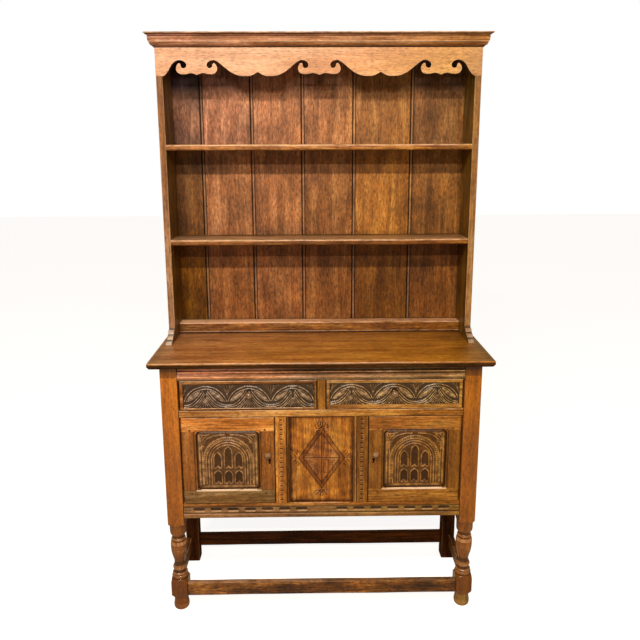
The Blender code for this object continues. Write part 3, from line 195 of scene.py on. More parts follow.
def iron():
    """Forged iron pins and lock plates, dark and slightly rusty, with a dull shine on rubbed parts."""
    material, tree, shader = new_material("forged_iron")
    place = node(tree, "ShaderNodeTexCoord").outputs["Object"]
    cloud = node(tree, "ShaderNodeTexNoise", {"Vector": place, "Scale": 260.0, "Detail": 4.0}).outputs[0]
    rust = ((0.35, "#2A2320"), (0.6, "#4A403A"), (0.75, "#5A3A26"))
    colour = node(tree, "ShaderNodeValToRGB", {0: cloud}, stops=rust)
    tree.links.new(colour.outputs[0], shader.inputs["Base Color"])
    shader.inputs["Metallic"].default_value = 0.85
    gloss = node(tree, "ShaderNodeMapRange", {"Value": cloud, "To Min": 0.35, "To Max": 0.65}).outputs[0]
    tree.links.new(gloss, shader.inputs["Roughness"])
    bump = node(tree, "ShaderNodeBump", {"Strength": 0.4, "Distance": 0.0002, "Height": cloud})
    tree.links.new(bump.outputs[0], shader.inputs["Normal"])
    return material


COLOURS = {
    "honey": dict(deep="#8E5216", body="#BF772A", pale="#DE9E4A", wear_and_light="#F6D2AC", mottle=0.36, fleck=0.38),
    "stile": dict(deep="#784614", body="#93591C", pale="#A8702C", wear_and_light="#DDB080"),
    "turned": dict(deep="#9C5614", body="#B0641A", pale="#C07220", wear_and_light="#EFB078", roughness=0.16, wax=0.5,
                   mottle=0.26, fleck=0.28, streak=0.35),
    "brown": dict(deep="#603411", body="#874E1C", pale="#A87034", wear_and_light="#E4B088", mottle=0.50, fleck=0.46),
    # under: unwaxed oak, dark as painted shade, for the lower part of the worktop's edge and its chamfer and
    # underside
    "under": dict(deep="#3A1E08", body="#54300E", pale="#6A4216", wear_and_light="#86592F", roughness=0.60, wax=0.08),
    "rim": dict(deep="#8A5C38", body="#AE7C52", pale="#C89A70", wear_and_light="#E4B088"),
    "worktop": dict(deep="#AA5F20", body="#CF802F", pale="#E59840", wear_and_light="#F8D2AE", roughness=0.30, wax=0.35),
    "boards": dict(deep="#80501F", body="#9D6329", pale="#B27A38", wear_and_light="#A08670", roughness=0.46, wax=0.20,
                   mottle=0.50, streak=0.40, fleck=0.50),
    "frieze": dict(deep="#D09A6C", body="#DFA675", pale="#EAB688", wear_and_light="#FBDCBC", mottle=0.16, fleck=0.28,
                   streak=0.3, pores=0.40),
    "stretcher": dict(deep="#4E2A0C", body="#874E1C", pale="#B07838", wear_and_light="#E4B088", roughness=0.28, wax=0.40,
                      mottle=0.80, fleck=0.70, pores=0.8),
    "cornice": dict(deep="#7D491C", body="#AC713C", pale="#D19762", wear_and_light="#ECC49A"),
    # shady: dark oak, darkened further as painted shade, for the rear legs and the rear stretcher under the base
    "shady": dict(deep="#251104", body="#411F08", pale="#5D2F0E", wear_and_light="#86592F", roughness=0.55, wax=0.08),
    "raw": dict(deep="#8C6238", body="#AA7D4D", pale="#C39A68", wear_and_light="#CDA878", roughness=0.75, wax=0.15,
                mottle=0.2),
    "knob": dict(deep="#5C3622", body="#875930", pale="#AE7F4C", wear_and_light="#E8C6A0", roughness=0.15, wax=0.65),
    "peg": dict(deep="#6A4218", body="#7E5222", pale="#93622C", wear_and_light="#A87A40", roughness=0.5, wax=0.15),
}

finishes = {"iron": iron()}


def finish(kind, grain):
    """Oak of one of these colourings with its fibres along an axis, made once."""
    name = f"{kind}_oak_{grain}"
    if name not in finishes:
        finishes[name] = oak(name, grain, **COLOURS[kind])
    return finishes[name]


# Building wood

def loft(rings, strips=(), rows=(), wear_and_light=1.0):
    """Skins rings of points and closes both ends. strips and rows number the faces marked pale, for rubbing and
    painted highlight.
    """
    bm = bmesh.new()
    layer = bm.faces.layers.float.new("wear_and_light")
    made = [[bm.verts.new(p) for p in ring] for ring in rings]
    count = len(made[0])
    for r, (low, high) in enumerate(zip(made, made[1:])):
        for c in range(count):
            d = (c + 1) % count
            face = bm.faces.new((low[c], low[d], high[d], high[c]))
            face[layer] = wear_and_light if c in strips or r in rows else 0.0
    bm.faces.new(made[0])
    bm.faces.new(made[-1])
    return bm


def area_of(outline):
    """Twice the area of an outline, less than zero if it runs clockwise."""
    return sum(a[0] * b[1] - b[0] * a[1] for a, b in zip(outline, outline[1:] + outline[:1]))


def inward(outline, i):
    """A corner, the ways to its two neighbours, its bend, and whether it is an outer corner."""
    here = Vector(outline[i])
    back = Vector(outline[i - 1]) - here
    on = Vector(outline[(i + 1) % len(outline)]) - here
    bend = back.normalized().cross(on.normalized())
    return here, back, on, bend, bend * area_of(outline) < 0


def eased(outline, size):
    """Rounds the sharp outer corners of an outline. Returns its points and the worn strips."""
    points = []
    strips = []
    for i in range(len(outline)):
        here, back, on, bend, outer = inward(outline, i)
        if not outer or abs(bend) < 0.5:
            points.append(tuple(here))
            continue
        by = min(size, back.length * 0.45, on.length * 0.45)
        back.normalize()
        on.normalize()
        strips += [len(points), len(points) + 1]
        points += [tuple(here + back * by), tuple(here + (back + on) * by * 0.29), tuple(here + on * by)]
    return points, strips


def inset(outline, by):
    """Moves every side of an outline inwards."""
    moved = []
    for i in range(len(outline)):
        here, back, on, _, outer = inward(outline, i)
        half = back.normalized() + on.normalized()
        if half.length < 0.05:
            # Where the outline runs straight on, inwards is square to it.
            half = Vector((-on.y, on.x)) * (1 if area_of(outline) > 0 else -1)
            reach = by
        else:
            reach = by / max(math.sqrt(max(1 - (half.length / 2) ** 2, 0.05)), 0.35)
            reach = reach if outer else -reach
        moved.append(tuple(here + half.normalized() * reach))
    return moved


PLACES = {
    "x": lambda a, b, along: Vector((along, a, b)),
    "y": lambda a, b, along: Vector((a, along, b)),
    "z": lambda a, b, along: Vector((a, b, along)),
}


def bar(outline, axis, start, end, ease=0.0012, ends=0.0, cuts=1, uneven=0.0, seed=0.0):
    """A length of wood with this section; ends eases its end arrises, uneven lets it wander."""
    points, strips = eased(outline, ease) if ease else (list(outline), [])
    place = PLACES[axis]
    stations = [start + (end - start) * i / cuts for i in range(cuts + 1)]
    shapes = [points] * len(stations)
    rows = ()
    if ends:
        small = inset(points, ends)
        stations = [start, start + ends, *stations[1:-1], end - ends, end]
        shapes = [small, points, *[points] * (len(stations) - 4), points, small]
        rows = (0, len(stations) - 2)
    rings = []
    for along, shape in zip(stations, shapes):
        a, b, _ = noise.noise_vector((along * 7, seed, 0.5)) * uneven
        rings.append([place(p[0] + a, p[1] + b, along) for p in shape])
    return loft(rings, strips, rows)


def square(a0, a1, b0, b1):
    return [(a0, b0), (a1, b0), (a1, b1), (a0, b1)]


def arc(centre, radii, start, end, steps):
    """Points of an arc, with its angles in degrees."""
    angles = [math.radians(start + (end - start) * i / steps) for i in range(steps + 1)]
    return [(centre[0] + radii[0] * math.cos(a), centre[1] + radii[1] * math.sin(a)) for a in angles]


def round_angles(count):
    return [math.tau * i / count for i in range(count)]


def flowing(points, steps):
    """A smooth curve through all the points."""
    ends = [points[0], *points, points[-1]]
    curve = []
    for p0, p1, p2, p3 in zip(ends, ends[1:], ends[2:], ends[3:]):
        for i in range(steps):
            t = i / steps
            curve.append(tuple(
                0.5 * (2 * b + (c - a) * t + (2 * a - 5 * b + 4 * c - d) * t * t
                       + (3 * b - a - 3 * c + d) * t ** 3)
                for a, b, c, d in zip(p0, p1, p2, p3)
            ))
    curve.append(tuple(points[-1]))
    return curve


def number_of(name):
    """A steady number from 0 to 1 for a name, so that no two boards share their grain."""
    return sum(ord(c) * (i + 3) * 0.137 for i, c in enumerate(name)) % 1.0


def between(value, start, end):
    """How far a value has gone from start to end, from 0 to 1."""
    return np.clip((value - start) / (end - start), 0, 1)


def tint_mesh(mesh, tone):
    """tone gives the shares by which red, green and blue differ, for the wood's own colour and for painted light
    and shade: one triple, or a function of x, y and z.

    All of the wood is also painted a little pinker at the left and more golden at the right, a painted light
    colour: the light is cooler from the left and warmer from the right.
    """
    places = np.empty(len(mesh.vertices) * 3)
    mesh.vertices.foreach_get("co", places)
    x, y, z = places.reshape(-1, 3).T
    light_colour = (1.0, 1.0, 1.24 - 0.60 * between(x, -0.45, 0.45))
    own = tone(x, y, z) if callable(tone) else tone
    shares = np.stack([np.maximum(1 + share + 0 * x, 0.02) * light_part - 1 for share, light_part in zip(own, light_colour)], -1)
    mesh.attributes.new("tint", "FLOAT_VECTOR", "POINT").data.foreach_set("vector", shares.ravel())


def dress(piece, name, body, materials, replaces=(), smooth=30, tone=(0.0, 0.0, 0.0)):
    """Gives a mesh object its finish, its shading and its place in the model."""
    mesh = piece.data
    tint_mesh(mesh, tone)
    which = [face.material_index for face in mesh.polygons]
    mesh.materials.clear()
    for material in materials if isinstance(materials, (list, tuple)) else [materials]:
        mesh.materials.append(material)
    mesh.polygons.foreach_set("material_index", [min(i, len(mesh.materials) - 1) for i in which])
    board = mesh.attributes.new("board", "FLOAT", "POINT")
    board.data.foreach_set("value", [number_of(name)] * len(mesh.vertices))
    mesh.shade_smooth()
    mesh.set_sharp_from_angle(angle=math.radians(smooth))
    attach(piece, body)
    if replaces:
        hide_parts(*([replaces] if isinstance(replaces, str) else replaces))
    return piece


def new_object(name, mesh):
    piece = bpy.data.objects.new(name, mesh)
    bpy.context.scene.collection.objects.link(piece)
    return piece


def to_object(name, bm):
    bmesh.ops.recalc_face_normals(bm, faces=bm.faces)
    mesh = bpy.data.meshes.new(name)
    bm.to_mesh(mesh)
    bm.free()
    return new_object(name, mesh)


def make(name, bm, materials, replaces=(), smooth=30, tone=(0.0, 0.0, 0.0), body="cabinet"):
    return dress(to_object(name, bm), name, body, materials, replaces, smooth, tone)


def marks_layer(bm):
    return bm.faces.layers.float.get("wear_and_light") or bm.faces.layers.float.new("wear_and_light")


def mark_faces(bm, rule):
    """Sets each face's mark, pale for rubbing and painted highlight, dark for dirt and painted shade. rule gets
    its middle, its outward direction and its mark so far.
    """
    layer = marks_layer(bm)
    bmesh.ops.recalc_face_normals(bm, faces=bm.faces)
    for face in bm.faces:
        face[layer] = rule(face.calc_center_median(), face.normal, face[layer])


def applied(piece):
    """Turns what an object's modifiers make into its own mesh."""
    bpy.context.view_layer.update()
    mesh = bpy.data.meshes.new_from_object(piece.evaluated_get(bpy.context.evaluated_depsgraph_get()))
    piece.modifiers.clear()
    piece.data = mesh
    return piece


def solved(target, *tools, operation="DIFFERENCE"):
    """Cuts a mesh object with helpers, or keeps what lies in them, and clears the helpers away."""
    for tool in tools:
        step = target.modifiers.new("step", "BOOLEAN")
        step.operation = operation
        step.solver = "EXACT"
        step.object = tool
    applied(target)
    for tool in tools:
        bpy.data.objects.remove(tool)
    return target


def helper(bm):
    return to_object("helper", bm)


def block(x0, x1, y0, y1, z0, z1):
    return bar(square(x0, x1, y0, y1), "z", z0, z1, ease=0)


def merged(mesh, within):
    """A mesh with its doubled points joined and its flat faces whole again."""
    bm = bmesh.new()
    bm.from_mesh(mesh)
    bmesh.ops.remove_doubles(bm, verts=bm.verts, dist=within)
    bmesh.ops.dissolve_limit(bm, angle_limit=math.radians(0.6), verts=bm.verts, edges=bm.edges)
    return bm


def copy_of(node_name):
    """A copy of a CAD part, whose own mesh is loose triangles."""
    return merged(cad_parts[node_name].data, 0.00002)


def ease_arrises(bm, size, chosen):
    """Rounds the outer edges that chosen() picks, and marks them pale as rubbed."""
    layer = marks_layer(bm)
    bmesh.ops.recalc_face_normals(bm, faces=bm.faces)
    picked = [
        e for e in bm.edges
        if len(e.link_faces) == 2 and e.calc_face_angle_signed(0) > math.radians(40) and chosen(e)
    ]
    made = bmesh.ops.bevel(
        bm, geom=picked, offset=size, segments=2, profile=0.5, affect="EDGES", clamp_overlap=False
    )
    for face in made["faces"]:
        face[layer] = 1.0


def to_bmesh(piece):
    bm = merged(piece.data, 0.00001)
    bpy.data.objects.remove(piece)
    return bm


# Repeated details

def repeating_tree():
    """Geometry nodes that set a small shape on every point, turned about Y by the point's own angle."""
    tree = bpy.data.node_groups.new("repeat_shape", "GeometryNodeTree")
    for label, kind in (("Points", "Geometry"), ("Shape", "Object"), ("Width", "Float"), ("Height", "Float"),
                        ("Finish", "Material")):
        tree.interface.new_socket(label, in_out="INPUT", socket_type=f"NodeSocket{kind}")
    tree.interface.new_socket("Pieces", in_out="OUTPUT", socket_type="NodeSocketGeometry")
    given = node(tree, "NodeGroupInput").outputs
    shape = node(tree, "GeometryNodeObjectInfo", {"Object": given["Shape"]}).outputs["Geometry"]
    angle = node(tree, "GeometryNodeInputNamedAttribute", {"Name": "turn"}, data_type="FLOAT").outputs[0]
    turn = node(tree, "ShaderNodeCombineXYZ", {"Y": angle}).outputs[0]
    size = node(tree, "ShaderNodeCombineXYZ", {
        "X": given["Width"], "Y": 1.0, "Z": given["Height"],
    }).outputs[0]
    set_out = node(tree, "GeometryNodeInstanceOnPoints", {
        "Points": given["Points"], "Instance": shape, "Rotation": turn, "Scale": size,
    }).outputs[0]
    real = node(tree, "GeometryNodeRealizeInstances", {0: set_out}).outputs[0]
    dressed = node(tree, "GeometryNodeSetMaterial", {
        "Geometry": real, "Material": given["Finish"],
    }).outputs[0]
    node(tree, "NodeGroupOutput", {0: dressed})
    return tree


def repeated(name, shape, places, width, height, material, turns=None):
    """Copies of a shape of unit size, given as a bmesh, at all the places, as one plain mesh object."""
    tree = bpy.data.node_groups.get("repeat_shape") or repeating_tree()
    pattern = helper(shape)
    mesh = bpy.data.meshes.new(name)
    mesh.from_pydata([tuple(place) for place in places], [], [])
    mesh.attributes.new("turn", "FLOAT", "POINT").data.foreach_set("value", turns or [0.0] * len(places))
    piece = new_object(name, mesh)
    step = piece.modifiers.new("repeat", "NODES")
    step.node_group = tree
    keys = {item.name: item.identifier for item in tree.interface.items_tree if item.in_out == "INPUT"}
    step[keys["Shape"]] = pattern
    step[keys["Width"]] = width
    step[keys["Height"]] = height
    step[keys["Finish"]] = material
    applied(piece)
    bpy.data.objects.remove(pattern)
    return piece


def peg_head():
    """The end of a cleft oak peg: eight uneven sides and a slightly domed top, 1 across."""
    return loft([
        [(share * math.cos(a) * (1 + 0.08 * math.sin(3 * a)), out, share * math.sin(a))
         for a in round_angles(8)]
        for share, out in ((0.50, 0.0), (0.46, -0.00030), (0.25, -0.00045))
    ])


def set_pegs(body, name, places):
    """Drawbore pegs, set flush at the joints."""
    turns = [number_of(name) * 6 + i * 1.3 for i in range(len(places))]
    piece = repeated(name, peg_head(), places, 0.0078, 0.0078, finish("peg", "y"), turns)
    dress(piece, name, body, finish("peg", "y"))


# Camera and light

def set_camera():
    """The eye stands 1.52 m above the floor, 2.0 m in front of the doors, a little to the left."""
    yaw, pitch, roll = 0.014499, 0.207212, -0.003718
    look = Vector((math.sin(yaw) * math.cos(pitch), math.cos(yaw) * math.cos(pitch), -math.sin(pitch)))
    right = Vector((math.cos(yaw), -math.sin(yaw), 0))
    up = right.cross(look)
    across = math.cos(roll) * right + math.sin(roll) * up
    upward = math.cos(roll) * up - math.sin(roll) * right
    data = bpy.data.cameras.new("camera")
    data.lens = 660.472 * 36 / 640
    data.shift_x = (320 - 319.590) / 640
    data.shift_y = (290.4676 - 320) / 640
    camera = bpy.data.objects.new("camera", data)
    turned = Matrix((across, upward, -look)).transposed().to_4x4()
    camera.matrix_world = Matrix.Translation((-0.03338, -2.13037, 1.52333)) @ turned
    bpy.context.scene.collection.objects.link(camera)
    bpy.context.scene.camera = camera


def lamp(name, place, target, size, power, colour):
    data = bpy.data.lights.new(name, "AREA")
    data.shape = "RECTANGLE"
    data.size, data.size_y = size
    data.energy = power
    data.color = linear(colour)[:3]
    light = bpy.data.objects.new(name, data)
    light.location = place
    light.rotation_euler = (Vector(target) - Vector(place)).to_track_quat("-Z", "Y").to_euler()
    bpy.context.scene.collection.objects.link(light)


def set_light():
    lamp("near_ceiling_light", (-0.35, -2.18, 2.80), (-0.35, 0.1, 1.15), (1.5, 0.08), 66, "#FFF4E6")
    lamp("far_ceiling_light", (-0.10, -3.61, 2.77), (-0.10, 0.1, 1.00), (1.6, 0.09), 44, "#FFF4E6")
    lamp("low_fill", (-0.4, -3.6, 1.0), (0, 0, 0.6), (2.4, 1.2), 6, "#FFF0E0")
    world = bpy.data.worlds.new("studio")
    bpy.context.scene.world = world
    world.use_nodes = True
    tree = world.node_tree
    # The eye sees a white background. The wood reflects a dimmer, warm room.
    rays = node(tree, "ShaderNodeLightPath").outputs
    room = mixed(tree, rays["Is Glossy Ray"], linear("#595959"), linear("#C4A676"))
    sky = mixed(tree, rays["Is Camera Ray"], room, linear("#FFFFFF"))
    tree.links.new(sky, tree.nodes["Background"].inputs["Color"])
    bpy.context.scene.view_settings.view_transform = "Standard"


def make_floor():
    """A plain white floor. To the camera it glows a little, so that only the shadow is left on it."""
    material, tree, shader = new_material("white_floor")
    shader.inputs["Base Color"].default_value = linear("#E6DCC8")
    shader.inputs["Roughness"].default_value = 0.9
    seen = node(tree, "ShaderNodeLightPath").outputs["Is Camera Ray"]
    shader.inputs["Emission Color"].default_value = linear("#FFFFFF")
    tree.links.new(times(tree, seen, 0.86), shader.inputs["Emission Strength"])
    bm = bmesh.new()
    bmesh.ops.create_grid(bm, x_segments=8, y_segments=8, size=14)
    mesh = bpy.data.meshes.new("floor")
    bm.to_mesh(mesh)
    bm.free()
    mesh.materials.append(material)
    new_object("floor", mesh)


# Worktop, legs and stretchers

def make_worktop():
    """One board of satin oak with a rounded upper edge and a chamfer under it."""
    low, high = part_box("worktop")

    def plan(by):
        """The board seen from above, drawn in by this much at the front and the ends."""
        x = high.x - by
        y = low.y + by
        r = max(0.007 - by, 0.001)
        right = [(x, high.y), *arc((x - r, y + r), (r, r), 0, -90, 4)]
        return right + [(-px, py) for px, py in reversed(right)]

    def tone(x, y, z):
        # Painted shade on the lower part of the front edge under the rounded arris; the top is darker towards the
        # ends and the back, and bluer at the left as a painted reflection.
        edge = 0.60 * (1 - between(z, low.z + 0.0150, low.z + 0.0185)) * (z > low.z + 0.0130)
        upper = z > high.z - 0.001
        ends = 0.14 * between(abs(x), 0.38, 0.49) + 0.16 * between(x, 0.38, 0.49)
        ends = (ends + 0.25 * between(abs(x), 0.495, 0.52) + 0.16 * between(y, 0.0, 0.12)) * upper
        left = between(-x, 0.15, 0.40)
        right = between(x, 0.0, 0.40)
        red = 0.07 * left - 0.11 - 0.04 * right
        green = 0.12 * left - 0.06 - 0.05 * right
        blue = (0.8 * left - 0.10 - 0.2 * right) * upper
        return red - edge * 0.98 - ends, green - edge * 1.03 - ends, blue - edge - 0.7 * ends

    upper_round = 0.0045
    steps = [(0.007, low.z), (0.0005, low.z + 0.0065), (0.0, low.z + 0.0075), (0.0, low.z + 0.0135)]
    steps.append((0.0, high.z - upper_round))
    steps += [(upper_round - upper_round * math.cos(a), high.z - upper_round + upper_round * math.sin(a))
              for a in [math.radians(degrees) for degrees in (25, 50, 75, 90)]]
    rings = [[(x, y, z) for x, y in plan(by)] for by, z in steps]
    bm = loft(rings, rows=(5, 6, 7), wear_and_light=0.4)
    layer = marks_layer(bm)
    # More points across the board let its colour change from end to end.
    cuts = [((side * x, 0, 0), (1, 0, 0))
            for side, _ in SIDES for x in (0.07, 0.15, 0.30, 0.40, 0.45, 0.495, 0.52)]
    for point, across in [*cuts, ((0, 0.0, 0), (0, 1, 0)), ((0, 0.12, 0), (0, 1, 0))]:
        bmesh.ops.bisect_plane(bm, geom=[*bm.verts, *bm.edges, *bm.faces], plane_co=point, plane_no=across)
    # The rounded upper arris is paler, rubbed and a painted highlight, less so to the right; the chamfer and the
    # lower part of the front edge take the dark under oak, a painted shade.
    for face in bm.faces:
        centre = face.calc_center_median()
        face.material_index = 1 if centre.z < low.z + 0.0134 else 0
        if face[layer] and centre.x > 0.30:
            face[layer] = 0.15
    materials = [finish("worktop", "x"), finish("under", "x")]
    make("worktop_board", bm, materials, "worktop", tone=tone)


def bead(low, high, core, full):
    """A round bead of the turned leg, from one height to another."""
    return [(core + (full - core) * math.sin(math.pi * i / 8), low + (high - low) * i / 8) for i in range(9)]


def leg_profile():
    """Radius and height of the turned leg, with the beads as fine as the lathe left them."""
    foot_top, turned_from, turned_to, shoulder_height = 0.049, 0.118, 0.3118, 0.016
    foot = flowing([(0.73, 0.0), (0.90, 0.11), (0.94, 0.30), (0.87, 0.57), (0.84, 0.80), (0.86, 1.0)], 5)
    profile = [(r * POST_HALF, h * foot_top) for r, h in foot]
    shoulder = [(r * POST_HALF, h * shoulder_height)
                for r, h in flowing([(0.98, 0.0), (1.13, 0.22), (1.28, 0.50), (1.50, 1.0)], 4)]
    profile += [(r, foot_top + h) for r, h in shoulder]
    profile += [(r, turned_from - h) for r, h in reversed(shoulder)]
    vase = [(0.64, 0.315), (0.73, 0.371), (0.83, 0.423), (0.92, 0.485), (0.975, 0.580), (0.97, 0.650)]
    bowl = [(0.71, 0.790), (0.86, 0.822), (0.96, 0.850), (0.99, 0.90)]
    turning = [(0.90, 0.0), *bead(0.006, 0.056, 0.91, 0.99), (0.88, 0.062), *bead(0.066, 0.108, 0.80, 0.91)]
    turning += [(0.73, 0.116), (0.72, 0.134), *bead(0.142, 0.244, 0.70, 0.83), (0.64, 0.262)]
    curve = flowing(vase, 6)
    for at in (0.535, 0.572):
        spot = min(range(len(curve)), key=lambda i: abs(curve[i][1] - at))
        r, h = curve[spot]
        curve[spot:spot + 1] = [(r, h - 0.008), (r - 0.03, h), (r, h + 0.008)]
    turning += sorted(curve, key=lambda p: p[1])
    turning += [(0.91, 0.696), (0.84, 0.704), *bead(0.710, 0.762, 0.76, 0.86), (0.71, 0.772)]
    turning += flowing(bowl, 6) + [(0.99, 1.0)]
    profile += [(r * POST_HALF, turned_from + h * (turned_to - turned_from)) for r, h in turning]
    profile += [(r, turned_to + h) for r, h in shoulder]
    # The square post reaches past any radius. Its many heights let its colour change upwards.
    heights = (0.335, 0.39, 0.45, 0.52, 0.60, 0.68, 0.75, 0.80, 0.835, 0.848, 0.862, 0.8742)
    profile += [(0.06, z) for z in heights]
    return profile


def make_front_leg(side, word):
    """Square and turned parts are one: the lathe's radius where it is less than the square's."""
    middle = Vector((side * 0.480, -0.127, 0))
    eased_corners = [45 + 90 * k + d for k in range(4) for d in (-2.4, 2.4)]
    degrees = sorted([i * 5.625 for i in range(64)] + eased_corners)
    profile = leg_profile()
    rings = []
    for radius, height in profile:
        ring = []
        for degree in degrees:
            angle = math.radians(degree)
            to_face = POST_HALF / max(abs(math.cos(angle)), abs(math.sin(angle)))
            corner = abs((degree - 45) % 90) < 0.1
            reach = min(radius, to_face - (0.0011 if corner else 0.0))
            ring.append(middle + Vector((math.cos(angle) * reach, math.sin(angle) * reach, height)))
        rings.append(ring)
    corners = [i for i, d in enumerate(degrees) if abs((d - 45) % 90) < 2.5 or abs((d - 45) % 90) > 87.5]
    strips = [i for i in corners if (i + 1) % len(degrees) in corners]
    bm = loft(rings)
    layer = marks_layer(bm)
    bm.faces.ensure_lookup_table()
    for r in range(len(rings) - 1):
        # Ridges of the turning are paler and hollows darker, partly from rubbing and dirt, partly as painted
        # highlight and painted shade.
        convex = 0.0
        if 0 < r < len(rings) - 2:
            slope = profile[r][0] + profile[r + 1][0] - profile[r - 1][0] - profile[r + 2][0]
            convex = max(-0.70, min(0.6, slope / 0.0020))
        square_here = min(profile[r][0], profile[r + 1][0]) > 0.0385
        for c, degree in enumerate(degrees):
            inner = (degree - 270) * side < 0
            # On the square part the front arris by the opening is painted dark as shade in the gap, the outer
            # front arris paler.
            arris = (-0.9 if inner else 0.35) if degree > 180 else 0.1
            turned = 0.0 if profile[r][0] > 0.0272 else convex
            bm.faces[r * len(degrees) + c][layer] = (arris if c in strips else 0.0) if square_here else turned

    def tone(x, y, z):
        """The top is darker, a painted shade under the worktop; the turned part darkens downwards, most of all
        below 0.3 m, and at the neck, and is paler on the bulb of the vase; the foot of the left one is pinker, and
        the foot of the right one is painted grey, a painted highlight.
        """
        top = 0.66 * between(z, 0.835, 0.862)
        low = (0.24 if side < 0 else 0.09) * (1 - between(z, 0.30, 0.62))
        low = low + 0.28 * (1 - between(z, 0.28, 0.31))
        foot = 1 - between(z, 0.044, 0.054)
        vase = between(z, 0.175, 0.200) * (1 - between(z, 0.240, 0.252))
        neck = 0.25 * between(z, 0.292, 0.305) * (1 - between(z, 0.312, 0.325))
        dark = np.clip(top + low + neck - (0.09 if side < 0 else 0.28) * vase, 0, 0.85)
        if side < 0:
            lift = 0.16 * between(z, 0.33, 0.60) - 0.08 * between(z, 0.80, 0.84)
            red, green, blue = 0.17 * foot, 0.13 * foot - 0.04, 0.36 * foot - 0.62 + 0.08 * vase
        else:
            lift = 0.0
            turned = between(z, 0.112, 0.122) * (1 - between(z, 0.28, 0.31)) * (1 - vase)
            block = (1 - between(z, 0.112, 0.122)) * (1 - foot)
            red, green = 0.22 * foot - 0.09 * block, 0.73 * foot - 0.13 * block
            blue = 5.2 * foot - 0.86 + 0.40 * turned
        return lift - dark + red, lift - dark * 0.98 + green, blue * (1 - dark) + lift - dark

    make(f"turned_front_leg_{word}", bm, finish("turned", "z"), f"front_leg_{word}", 38, tone)


def make_rear_leg(side, word):
    """A square post with a rebate, in which the boards of the back lie."""
    x0, x1 = sorted((side * REAR_IN, side * POST_OUT))
    low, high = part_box(f"rear_leg_{word}")
    piece = helper(bar(square(x0, x1, low.y, high.y), "z", 0, high.z, ease=0.0032, ends=0.0028))
    a, b = sorted((side * 0.45, side * (REAR_IN + 0.008)))
    solved(piece, helper(block(a, b, 0.1625 - CLEAR, 0.20, 0.3463 - CLEAR, 0.90)))
    # Dark shady oak, darkened further as painted shade under the base.
    make(f"square_rear_leg_{word}", to_bmesh(piece), finish("shady", "z"), f"rear_leg_{word}",
         tone=(0.20, 0.20, -0.15))


def make_stretchers():
    for name, colours, y0, y1, reach in (
        ("front_stretcher", "stretcher", -0.1455, -0.1275, POST_IN - CLEAR),
        ("rear_stretcher", "shady", 0.1455, 0.1635, REAR_IN - CLEAR),
    ):
        def light_and_wear(middle, normal, wear_and_light):
            """Feet have rubbed the top of the front one, which is also paler as a painted highlight; its other
            arrises are darker, and the rear one's arrises are painted dark as shade.
            """
            if colours == "shady":
                return wear_and_light and -0.6
            if normal.z > 0.2:
                return 0.6 if middle.x < 0 else 0.3
            return wear_and_light and -0.3

        bm = bar(square(y0, y1, *STRETCHER), "x", -reach, reach, 0.002, cuts=30, uneven=0.0010, seed=y0)
        mark_faces(bm, light_and_wear)
        make(f"{name}_bar", bm, finish(colours, "x"), name, tone=(0.18, 0.18, -0.08))
    for side, word in SIDES:
        x0, x1 = sorted((side * 0.4855, side * 0.5035))
        bm = bar(square(x0, x1, *STRETCHER), "y", -0.0995 + CLEAR, 0.1245 - CLEAR, 0.0016)
        make(f"side_stretcher_{word}_bar", bm, finish("brown", "y"), f"side_stretcher_{word}")


# Front frame of the base

